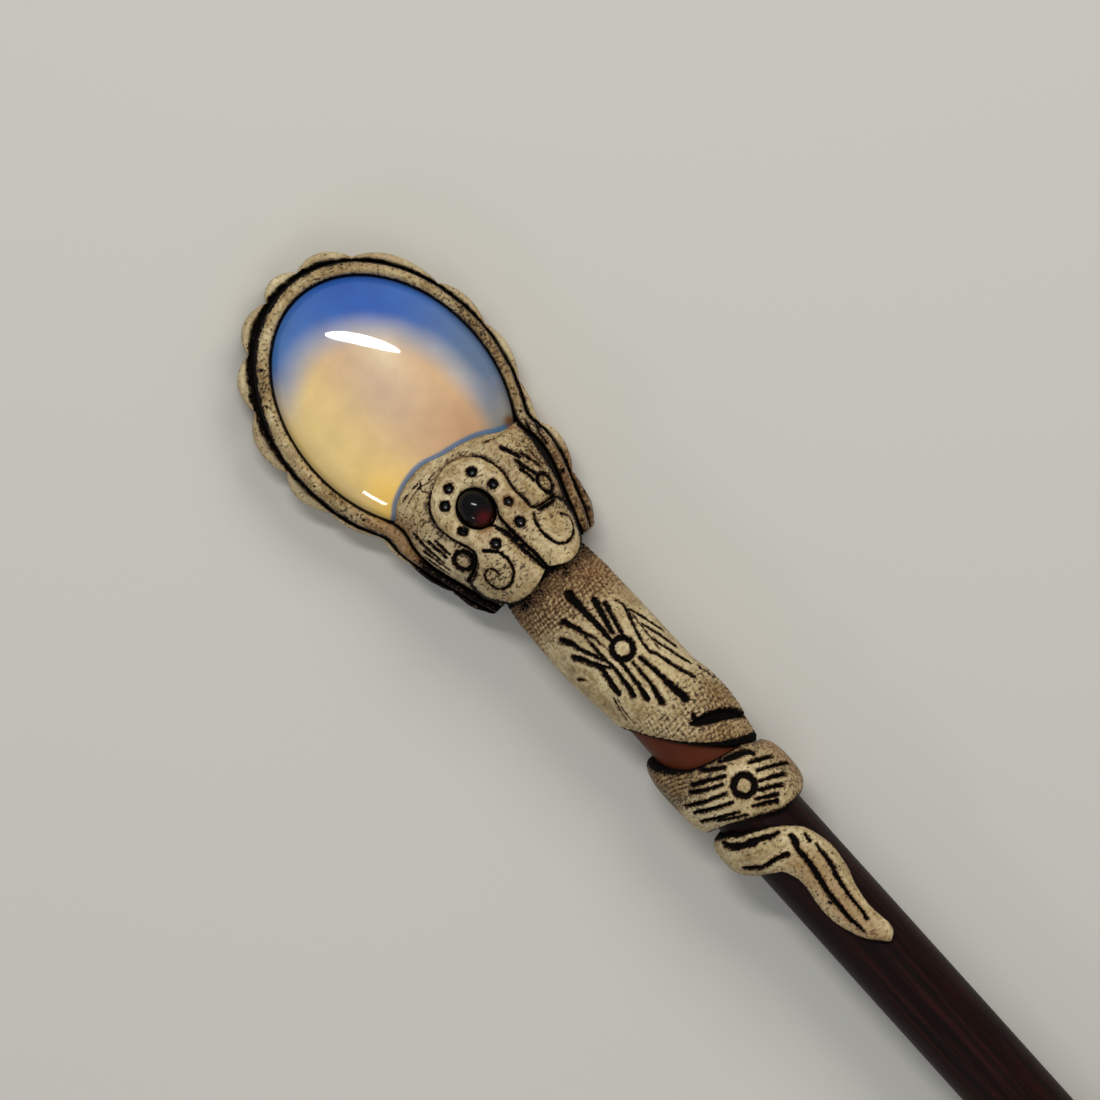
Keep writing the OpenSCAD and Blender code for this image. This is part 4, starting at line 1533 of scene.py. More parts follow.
@dataclass
class Garnet:
    """The small oval garnet, nearly black, in its seat in the hood.

    Attributes:
        at: Its middle, as shares along and across the hood.
        girdle: The edge below its dome: share of the oval and height in mm.
        glow_at: Middle of the red glow, from the garnet's own.
    """

    setting: Setting
    finish: PolishedGarnet
    at: Pair = (0.434, -0.112)
    half_l: float = 2.05
    half_w: float = 1.7
    seat: float = 0.7
    edge: float = 0.9
    dome_h: float = 1.5
    rows: int = 48
    columns: int = 96
    girdle: Table = ((0.96, 0), (1.0, 0.06), (1.0, 0.5))
    top_open: float = 0.01
    dark: str = "#020101"
    glow: str = "#4a070a"
    glow_at: Pair = (1.15, -0.1)
    glow_reach: Pair = (0.6, 0.75)

    def middle(self) -> Pair:
        """Returns where the garnet's middle lies."""
        x, y = self.setting.hood_place(np.array(self.at[0]), np.array(self.at[1]))
        return float(x), float(y)

    def share(self, x: Array, y: Array, grow: float) -> Array:
        """Returns the distance from its middle as a share of the oval, grown by a little."""
        mx, my = self.middle()
        return np.hypot((x - mx) / (self.half_l + grow), (y - my) / (self.half_w + grow))

    def build(self) -> Object:
        """Builds the garnet: rings of its oval, shrunk and raised along a quarter turn.

        Returns:
            The garnet's object.
        """
        mx, my = self.middle()
        foot = float(self.setting.hood_height(np.array(mx), np.array(self.at[1]))) - self.seat
        turn = np.linspace(0, math.pi / 2 - self.top_open, self.rows)
        share, rise = np.array(self.girdle).T
        shares = np.concatenate([share, np.cos(turn)])
        heights = np.concatenate([rise, self.edge + self.dome_h * np.sin(turn)]) + foot
        x, y, z = cabochon((self.half_l, self.half_w), shares, heights, self.columns)
        glow = spot(x, y, self.glow_at, self.glow_reach)[..., None]
        tone = lerp(np.array(linear(self.dark)), np.array(linear(self.glow)), glow)
        points = joined(mx + x, my + y, z)
        piece = skin("garnet_cabochon", points, {"tone": tone}, Ends.FAN, self.finish.material())
        stand_for(piece, "garnet")
        return piece


@dataclass
class Crest:
    """The ribbon of clay on the hood round the garnet, with a scroll at each end.

    Attributes:
        rungs: Share along and share across the hood, at its inner and at its outer edge.
        inset: What a share across the hood is multiplied by where its height is read.
        even_share: How evenly its columns are spread between its edges.
    """

    setting: Setting
    garnet: Garnet
    clay: Material
    rows: int = 560
    top: int = 88
    under: int = 12
    height: float = 0.95
    edge: float = 0.25
    inset: float = 0.96
    rungs: Table = (
        (1.003, 0.08, 1.019, -0.03), (0.994, 0.06, 1.051, -0.27), (0.968, 0.06, 1.057, -0.55),
        (0.911, 0.04, 1.019, -0.86), (0.835, 0.02, 0.918, -1), (0.753, 0, 0.829, -0.98),
        (0.677, -0.02, 0.753, -0.9), (0.62, -0.06, 0.722, -0.72), (0.576, -0.13, 0.671, -0.56),
        (0.545, -0.26, 0.601, -0.51), (0.485, -0.34, 0.487, -0.57), (0.424, -0.36, 0.335, -0.61),
        (0.356, -0.32, 0.222, -0.55), (0.306, -0.22, 0.139, -0.32), (0.294, -0.11, 0.101, -0.08),
        (0.316, 0.02, 0.12, 0.13), (0.367, 0.1, 0.209, 0.35), (0.437, 0.13, 0.342, 0.42),
        (0.506, 0.11, 0.481, 0.4), (0.576, 0.05, 0.589, 0.44), (0.633, 0.05, 0.677, 0.51),
        (0.69, 0.05, 0.715, 0.86), (0.778, 0.07, 0.81, 0.98), (0.861, 0.1, 0.911, 1),
        (0.93, 0.12, 1.006, 0.97), (0.975, 0.14, 1.063, 0.77), (0.994, 0.15, 1.07, 0.49),
        (1.003, 0.16, 1.019, 0.21),
    )
    lines: tuple[Stroke, ...] = (
        Stroke(((19.6, 4.95, 0.22), (20.0, 5.3, 0.26), (20.5, 5.4, 0.26), (21.2, 5.2, 0.27),
                (21.8, 4.7, 0.29), (22.1, 4.05, 0.29), (22.1, 3.35, 0.30), (21.6, 2.75, 0.30),
                (20.9, 2.45, 0.30), (19.9, 2.35, 0.30), (18.7, 2.5, 0.29), (17.9, 2.9, 0.29)),
                depth=0.36, spill=0.6),
        Stroke(((17.2, -3.3, 0.36), (18.0, -2.5, 0.33), (18.7, -2.15, 0.32), (19.7, -2.05, 0.32),
                (20.5, -2.25, 0.32), (21.1, -2.75, 0.33), (21.5, -3.45, 0.33), (21.4, -4.25, 0.32),
                (21.0, -4.75, 0.30), (20.4, -4.95, 0.29), (19.7, -5.05, 0.27), (19.1, -4.75, 0.24),
                (18.9, -4.25, 0.23), (19.1, -3.85, 0.22), (19.5, -3.65, 0.20), (20.0, -3.65, 0.17)),
                depth=0.36, spill=0.6),
    )
    seams: tuple[Stroke, ...] = (
        Stroke(((18.05, 5.7, 0.42), (18.1, 5.0, 0.46), (18.0, 4.3, 0.46), (17.8, 3.7, 0.4)),
                depth=0.35),
        Stroke(((17.4, -4.5, 0.3), (18.0, -4.9, 0.36), (18.45, -5.7, 0.4), (18.7, -6.4, 0.4)),
                depth=0.35),
    )
    pits: tuple[Dot, ...] = (
        Dot(10.6, 1.1, 0.52), Dot(12.9, 1.85, 0.52), Dot(15.2, 1.9, 0.5, ink=0.78), Dot(17.5, 1.35),
        Dot(10.3, -1.71, 0.52), Dot(11.35, -3.15), Dot(14.4, -3.45), Dot(17.5, -1.85),
    )
    stains: tuple[Patch, ...] = (
        Patch(15.2, 1.9, 0.8, 0.8), Patch(15.6, -1.6, 0.8), Patch(16.8, 0.2, 0.7, 0.6),
    )
    soils: tuple[Patch, ...] = (Patch(19, 5, 3, 0.4), Patch(20.5, -4, 3, 0.6))
    seat_gap: float = 0.1
    line_bold: float = 0.85
    even_share: float = 0.65

    def rim_points(self, count: int) -> Array:
        """Returns the ribbon's two edges in the plane, as one array of points."""
        rung = along(np.array(self.rungs), np.linspace(0, len(self.rungs) - 1, count))
        sides = [self.setting.hood_place(rung[:, k], rung[:, k + 1]) for k in (0, 2)]
        return np.stack([np.stack(side, -1) for side in sides])

    def build(self) -> Object:
        """Builds the ribbon.

        Formula: each rung runs from the ribbon's inner to its outer side on the hood, raised
        by a dome across it, and goes back along the hood's own surface.

        Returns:
            The ribbon's object.
        """
        s, garnet = self.setting, self.garnet
        over, even = np.linspace(0, 1, self.top), self.even_share
        over = 0.5 - 0.5 * np.cos(math.pi * over) * (1 - even) + (over - 0.5) * even
        rung, t, lift = ribbon(self.rungs, self.rows, over, self.under)
        w = lerp(rung[..., 1], rung[..., 3], t)
        x, y = s.hood_place(lerp(rung[..., 0], rung[..., 2], t), w)
        push = np.maximum(1, 1 / np.maximum(garnet.share(x, y, self.seat_gap), 0.05))
        mx, my = garnet.middle()
        x, y = mx + (x - mx) * push, my + (y - my) * push
        side = dome(t)
        rise = lift * lerp(self.edge, self.height, side)
        points = joined(x, y, s.hood_height(x, w * self.inset) + s.gap + rise)

        def place(px: Array, py: Array) -> Array:
            """Returns a seen place on the ribbon's top."""
            z = s.hood_height(px, s.across(px, py) * self.inset) + self.height
            return joined(px, py, z)

        relief = Relief(points, points, place)
        relief.press(self.lines, self.line_bold)
        relief.press(self.seams)
        for dot in self.pits:
            relief.dent(dot)
        relief.stain_by(self.stains)
        relief.soil(self.soils)
        height = relief.height() * (lift * smooth(side / 0.5))
        by_garnet = smooth((1.3 - garnet.share(x, y, self.seat_gap)) / 0.12)
        foot = np.clip((0.72 - side) / 0.4, 0, 1) * (1 - 0.7 * by_garnet)
        black = foot * lerp(0.5, 1.0, smooth((x - 8.6) / 1.5))
        relief.blacken(black * (1 + 3 * relief.ragged))
        relief.grime_and_shade += 0.15 + 0.15 * noise(points, 3, 61)
        return relief.piece("clay_crest", "crest", height, Ends.FAN, self.clay)


@dataclass
class Hood:
    """The sheet of clay over the ends of the stone and the stick, with a wing at each side."""

    setting: Setting
    garnet: Garnet
    crest: Crest
    clay: Material
    rows: int = 190
    columns: int = 230
    roll: float = 0.3
    roll_share: float = 0.12
    round_r: float = 0.4
    row_power: float = 1.15
    seat_gap: float = 0.12
    seat_depth: float = 0.75
    crest_places: int = 160
    rings: tuple[Ring, ...] = (
        Ring(16.65, -5.5, 0.98, 0.44), Ring(16.35, 5.95, 1.08, 0.44, depth=0.4, flat=0.78),
    )
    stains: tuple[Patch, ...] = (
        Patch(9.4, 7.2, 0.8), Patch(8.6, -7.9, 0.7), Patch(10.5, -7.6, 1.6, 0.45),
        Patch(17.3, 6.9, 1.0, 0.8),
    )
    soils: tuple[Patch, ...] = (
        Patch(12, 6.6, 3.0, 0.6), Patch(17.6, 6.4, 1.3, 0.8), Patch(10.5, -7.2, 2.6, 0.6),
        Patch(17.6, -3.8, 1.6, 0.7), Patch(13.8, 7.7, 1.8),
    )
    lines: tuple[Stroke, ...] = (
        Stroke(((13.3, -6.2, 0.26), (15.2, -6.05, 0.22)), depth=0.3),
        Stroke(((12.9, -6.75, 0.3), (15.2, -6.5, 0.26)), depth=0.3),
        Stroke(((11.4, -7.35, 0.34), (13.5, -7.3, 0.32), (15.5, -7.05, 0.22)), depth=0.32),
        Stroke(((13.4, -7.72, 0.32), (15.0, -7.42, 0.28), (16.3, -7.12, 0.16)), depth=0.3),
        Stroke(((13.9, -8.02, 0.3), (15.3, -7.75, 0.3), (16.6, -7.4, 0.16)), depth=0.3),
        Stroke(((10.8, 4.95, 0.4), (11.6, 5.3, 0.4), (12.6, 5.65, 0.3)), depth=0.34),
        Stroke(((12.6, 6.1, 0.34), (13.5, 6.35, 0.34), (14.7, 6.65, 0.3)), depth=0.32, ink=0.85),
        Stroke(((12.7, 5.15, 0.3), (13.6, 5.35, 0.3), (14.9, 5.75, 0.3)), depth=0.3),
        Stroke(((13.7, 4.95, 0.3), (14.6, 5.15, 0.26), (15.3, 5.2, 0.2)), depth=0.3),
        Stroke(((12.7, 6.85, 0.16), (14.7, 6.95, 0.14)), depth=0.14, ink=0.8),
        Stroke(((18.0, 5.8, 0.6), (18.05, 5.0, 0.62), (17.95, 4.3, 0.6), (17.75, 3.5, 0.6)),
                depth=0.5, sink=0.2),
        Stroke(((17.3, -4.5, 0.4), (17.9, -4.9, 0.5), (18.35, -5.7, 0.56), (18.6, -6.6, 0.6)),
                depth=0.45, sink=0.2),
        Stroke(((9.15, 4.0, 0.18), (9.55, 5.2, 0.22), (9.85, 6.6, 0.2)),
                depth=0.14, ink=0.85, spill=0.5),
        Stroke(((7.3, 0.35, 0.1), (8.1, 0.3, 0.14), (8.35, -0.4, 0.12), (8.1, -1.6, 0.1),
                (8.3, -2.6, 0.1)), depth=0.12, ink=0.9, spill=0.45),
        Stroke(((7.7, -2.6, 0.1), (7.85, -4.0, 0.14), (8.05, -5.6, 0.17), (8.6, -7.2, 0.14)),
                depth=0.16, ink=0.95, spill=0.5),
        Stroke(((8.3, -3.5, 0.1), (8.35, -4.6, 0.12), (8.9, -6.4, 0.1)),
                depth=0.12, ink=0.85, spill=0.4),
        Stroke(((8.3, -3.5, 0.1), (8.55, -2.5, 0.12), (8.8, -1.6, 0.1)),
                depth=0.12, ink=0.85, spill=0.4),
        Stroke(((7.9, -3.4, 0.1), (8.6, -3.9, 0.12), (9.2, -3.5, 0.08)),
                depth=0.12, ink=0.85, spill=0.4),
        Stroke(((10.1, 2.5, 0.14), (10.35, 2.9, 0.16), (10.5, 2.5, 0.1)), depth=0.12, ink=0.8),
        Stroke(((12.8, -5.6, 0.1), (13.4, -5.5, 0.12), (14.1, -5.4, 0.08)), depth=0.08, ink=0.6),
    )

    def build(self) -> Object:
        """Builds the hood as a shell with an upper and a lower sheet.

        Formula: the upper sheet is the hood's arch, rolled down at its edge over the stone and
        rounded there by a quarter circle. The lower sheet keeps clear of the stone and the
        stick.

        Returns:
            The hood's object.
        """
        s = self.setting
        w = np.sin(np.linspace(math.pi / 2, -math.pi / 2, self.columns))[None, :]
        share = np.linspace(0, 1, self.rows)[:, None] ** self.row_power
        start = s.open_a * spread(np.array(s.hood_edge), (w + 1) / 2)
        x = lerp(start, s.head_end, share)
        half = s.half_at(x) - s.gap
        y = s.mid_at(x) + half * w
        rolled = self.roll * np.clip(1 - share / self.roll_share, 0, 1) ** 2 * arch(w, s.hood_power)
        near = np.clip(1 - (x - start) / self.round_r, 0, 1)
        z = s.hood_height(x, w) - rolled - self.round_r * (1 - np.sqrt(1 - near ** 2))
        covered = (x / (s.stone_a + s.gap)) ** 2 + (y / (s.stone_b + s.gap)) ** 2 < 1
        low = np.where(covered, s.stone_top(x, y) + s.gap, s.seat_z + s.gap)
        low = s.over_stick(x, y, low)
        top, bottom = joined(x, y, np.maximum(z, low + 0.1)), joined(x, y, low)

        def place(px: Array, py: Array) -> Array:
            """Returns a seen place on the hood's top."""
            return joined(px, py, s.hood_height(px, s.across(px, py)))

        relief = Relief(top, top, place)
        relief.press(self.lines)
        for mark in self.rings:
            relief.circle(mark)
        near_crest = self.distance_to_crest(x, y)
        close = near_crest < 1.2
        # A shallow groove round the crest; the clay drawn down beside it is darkened as dirt and
        # painted shade.
        relief.stamp(close, near_crest[close] - 0.16, 0.12, 0.14, sink=0.16)
        relief.ink *= np.where(near_crest < 0.5, lerp(0.6, 1.0, smooth((x - 8.8) / 1.4)), 1.0)
        by_bead = np.abs(1 - np.abs(w)) * half
        reach = np.where(w < 0, 0.28, 0.46 + 0.4 * bell((x - 14) / 2.4))
        relief.blacken(np.clip((reach - by_bead + relief.ragged) / 0.42, 0, 1))
        # Painted shadow: black at the hood's end, where it meets the neck under the crest's legs.
        relief.blacken(smooth((x - s.head_end + 0.3) / 0.2))
        relief.stain_by(self.stains)
        relief.soil(self.soils)
        relief.grime_and_shade += 0.12 + 0.12 * noise(top, 3, 71)
        free = smooth(by_bead / 0.3) * smooth((s.head_end - x) / 0.3)
        height = np.minimum(relief.height(), 0.03) * free
        in_seat = self.garnet.share(x, y, self.seat_gap)
        relief.blacken(smooth((1.06 - in_seat) / 0.06))
        marks = {k: np.concatenate([v, np.zeros_like(v)], 1) for k, v in relief.marks().items()}
        around = np.concatenate([top, bottom[:, ::-1]], 1)
        top = top + face_normals(around, False)[:, :self.columns] * height[..., None]
        hollow = self.seat_depth * smooth((1.0 - in_seat) / 0.04)
        top[..., 2] = np.maximum(top[..., 2] - hollow, low + 0.08)
        points = np.concatenate([top, bottom[:, ::-1]], 1)
        piece = skin("clay_hood", points, marks, Ends.LADDER, self.clay)
        stand_for(piece, "hood")
        return piece

    def distance_to_crest(self, x: Array, y: Array) -> Array:
        """Finds how far each place lies from the nearest edge of the crest.

        Args:
            x: Places along the hood.
            y: Places across it.

        Returns:
            The distance in mm in the plane.
        """
        best = np.full(x.shape, 9.0)
        for side in self.crest.rim_points(self.crest_places):
            for spot in side:
                best = np.minimum(best, np.hypot(x - spot[0], y - spot[1]))
        return best


@dataclass
class NeckWrap:
    """The sleeve of clay from the hood to a slanted lip.

    Attributes:
        profile: Share of the way along the sleeve and share of the wall's thickness.
        inner: Share of the way along the bore and clearance beyond the bore's radius.
        chart_r: Radius in mm at which places round the stick are measured.
        bold: What the widths of the lines are multiplied by.
    """

    setting: Setting
    clay: Material
    start: float = 22.65
    length: float = 26.85
    slant: float = 9.7
    bulge: float = 1.35
    wall: float = 1.2
    swell: float = 0.65
    swell_at: float = 0.77
    swell_reach: float = 0.16
    thin_from: float = 0.55
    thin_share: float = 0.55
    profile: Table = (
        (0, 0.55), (0.15, 0.88), (0.4, 1), (0.8, 1), (0.94, 0.95), (0.985, 0.7), (1, 0.4),
    )
    inner: Table = (
        (1.0, 0.3), (1.0, 0.02), (0.98, 0), (0.7, 0), (0.35, 0), (0.0, 0),
    )
    lip_rows: int = 14
    rows: int = 262
    columns: int = 330
    chart_r: float = 5.4
    bold: float = 1.12
    ring: Ring = Ring(33.7, 0.55, 1.1, 0.5)
    stain: Patch = Patch(26.2, 3.4, 1.8, 0.35)
    lines: tuple[Stroke, ...] = (
        Stroke(((26.2, 0.15, 0.9), (27.6, 0.15, 0.66), (30, 0.2, 0.44), (32.5, 0.25, 0.3))),
        Stroke(((28.3, 1.75, 0.6), (29.7, 1.35, 0.5), (31.9, 0.8, 0.3))),
        Stroke(((29.3, 2.3, 0.5), (30.3, 2.05, 0.42), (32.7, 1.4, 0.24))),
        Stroke(((27.8, -2.2, 0.56), (29.2, -1.6, 0.36), (30.4, -1.15, 0.24), (31.2, -0.8, 0.16))),
        Stroke(((31.0, -0.95, 0.1), (32.0, -0.8, 0.14), (32.9, -0.65, 0.1)), depth=0.1, ink=0.7),
        Stroke(((29.1, -3.5, 0.6), (29.9, -3.0, 0.46), (31.0, -2.7, 0.34), (32.1, -2.2, 0.3),
                (33.3, -1.7, 0.2))),
        Stroke(((31.2, -3.65, 0.56), (32.1, -3.1, 0.46), (33.3, -2.5, 0.42), (34.2, -1.8, 0.24))),
        Stroke(((35.5, 1.25, 0.26), (37.8, 1.5, 0.36), (40.0, 1.65, 0.56), (41.6, 1.8, 0.66)),
                depth=0.45),
        Stroke(((35.4, 0.35, 0.2), (38.0, 0.27, 0.24), (39.4, 0.0, 0.4), (40.3, -0.15, 0.5))),
        Stroke(((33.4, -0.65, 0.2), (34.7, -0.55, 0.22), (37.2, -0.75, 0.32), (39.0, -1.05, 0.46))),
        Stroke(((30.3, -1.45, 0.16), (32.7, -1.55, 0.26), (34.7, -1.45, 0.26), (36.7, -1.65, 0.38),
                (37.9, -1.9, 0.5))),
        Stroke(((33.5, -2.35, 0.4), (34.7, -2.55, 0.44), (36.7, -2.85, 0.5))),
        Stroke(((36.0, 2.55, 0.12), (38.2, 3.15, 0.26), (40.5, 3.75, 0.36)), depth=0.3),
        Stroke(((34.9, 3.35, 0.12), (37.2, 3.95, 0.24), (39.2, 4.5, 0.3)), depth=0.3),
        Stroke(((33.2, 3.6, 0.12), (35.2, 4.15, 0.2), (37.1, 4.6, 0.26)), depth=0.26),
        Stroke(((31.3, 3.65, 0.14), (32.2, 4.0, 0.2), (33.7, 4.35, 0.24), (35.0, 4.7, 0.18)),
                depth=0.24),
        Stroke(((30.6, 3.55, 0.24), (31.9, 3.15, 0.26), (33.2, 2.75, 0.24), (34.7, 2.4, 0.22),
                (35.9, 2.35, 0.12)), depth=0.26),
        Stroke(((29.6, 3.25, 0.12), (30.4, 3.5, 0.16), (32.2, 3.5, 0.12), (34.2, 3.35, 0.12),
                (36.2, 3.2, 0.08)), depth=0.12, ink=0.8),
        Stroke(((43.8, 0.55, 0.22), (44.3, 1.5, 0.8), (44.8, 2.6, 1.05), (45.4, 3.6, 1.05),
                (46.1, 4.5, 0.95), (46.9, 5.1, 0.7)), depth=0.75),
        Stroke(((43.3, 1.3, 0.3), (44.0, 1.0, 0.5)), depth=0.4),
        Stroke(((33.1, -4.9, 0.14), (33.3, -4.55, 0.18), (33.6, -4.4, 0.1)), depth=0.12),
        Stroke(((36.8, -3.5, 0.1), (38.1, -4.0, 0.16), (39.3, -4.3, 0.1)), depth=0.12, ink=0.8),
        Stroke(((37.2, -3.3, 0.08), (38.6, -3.8, 0.12), (40.0, -3.9, 0.08)), depth=0.1, ink=0.7),
        Stroke(((40.2, 4.75, 0.3), (40.9, 4.8, 0.2), (42.0, 4.95, 0.14)), depth=0.14, ink=0.9),
        Stroke(((41.4, 5.0, 0.1), (42.8, 5.1, 0.14), (44.0, 5.0, 0.1)), depth=0.1, ink=0.8),
    )

    def end(self, a: Array) -> Array:
        """Returns where the sleeve ends at an angle round the stick, 0 being the top."""
        slanted = self.start + self.length - self.slant * (1 - np.sin(a)) / 2
        return slanted + self.bulge * np.maximum(0, np.cos(a)) ** 2

    def thickness(self, s: Array, a: Array) -> Array:
        """Works out the sleeve's thickness.

        Formula: a profile along the sleeve, thinned towards the lip on one side, with a swell
        before the lip on the other side.

        Args:
            s: Share of the way along the sleeve.
            a: Angle round the stick.

        Returns:
            The thickness in mm.
        """
        table = np.array(self.profile)
        hump = np.maximum(0, 1 - ((s - self.swell_at) / self.swell_reach) ** 2)
        swell = self.swell * np.maximum(0, np.sin(a)) * hump
        thinning = smooth((s - self.thin_from) / (1 - self.thin_from))
        thin = 1 - self.thin_share * np.maximum(0, -np.sin(a)) * thinning
        return self.wall * np.interp(s, table[:, 0], table[:, 1]) * thin + swell

    def place(self, x: Array, y: Array) -> Array:
        """Returns a seen place as place along and length of arc round the stick."""
        return self.setting.unrolled(x, y, self.chart_r)

    def build(self) -> Object:
        """Builds the sleeve.

        Formula: circles round the stick whose radius is the bore's plus the thickness, then
        back along the bore.

        Returns:
            The sleeve's object.
        """
        s = self.setting
        a = np.linspace(-math.pi, math.pi, self.columns, endpoint=False)[None, :]
        body = np.linspace(0, 0.97, self.rows - self.lip_rows)
        share = np.concatenate([body, np.linspace(0.972, 1, self.lip_rows)])[:, None]
        inner_share, clear = (np.array(column)[:, None] for column in zip(*self.inner))
        outer, inner = s.bore_r + self.thickness(share, a), s.bore_r + clear + 0 * a
        full = np.concatenate([share, inner_share]) + 0 * a
        x = lerp(self.start, self.end(a), full)
        points = s.round_stick(x, np.concatenate([outer, inner]), a)
        relief = Relief(joined(x, self.chart_r * a, 0), points, self.place)
        relief.press(self.lines, self.bold)
        relief.circle(self.ring)
        free = np.concatenate([np.ones_like(outer), np.zeros_like(inner)])
        up, to_end = np.sin(a), self.end(a) - x
        # Darker near the hood: grime, and painted shadow under the crest's legs.
        by_hood = 0.7 * smooth((31 - x) / 6) + 0.5 * smooth((25.6 - x) / 2.4)
        relief.grime_and_shade = 0.02 + by_hood + 0.4 * smooth((x - 39) / 4) + 0.22 * noise(points, 4, 81)
        relief.grime_and_shade += 0.12 * smooth(up - 0.2)
        relief.weave(np.maximum(smooth((30.5 - x) / 4), 0.65 * smooth((x - 38) / 3)) * free)
        brown = 0.25 * smooth((x - 41) / 4) * (0.5 + 0.5 * up)
        relief.stain = 0.22 * smooth((31 - x) / 5) + brown
        relief.stain_by((self.stain,))
        relief.stain += 0.4 * smooth((np.abs(up) - 0.8) / 0.2) * smooth((30 - x) / 6)
        height = relief.height() * free * smooth(to_end / 0.35)
        # Painted shadow: black along the lip's edge, and at the sleeve's start under the crest's
        # legs, fading out within 4.6 mm of the start.
        lip = np.clip((0.66 + 0.35 * smooth(up) - to_end) / 0.42, 0, 1)
        edge = np.maximum(lip, smooth((self.start + 1.6 - x) / 1.4))
        shade = 0.54 + 0.2 * noise(points, 1.6, 82)
        edge = np.maximum(edge, shade * smooth((self.start + 4.6 - x) / 3.6))
        relief.blacken(edge * (1 + 3 * relief.ragged))
        relief.ink = np.clip(relief.ink, 0, 1) * np.maximum(free, full > 0.9)
        return relief.piece("clay_neck_wrap", "neck_wrap", height, Ends.JOINED, self.clay)


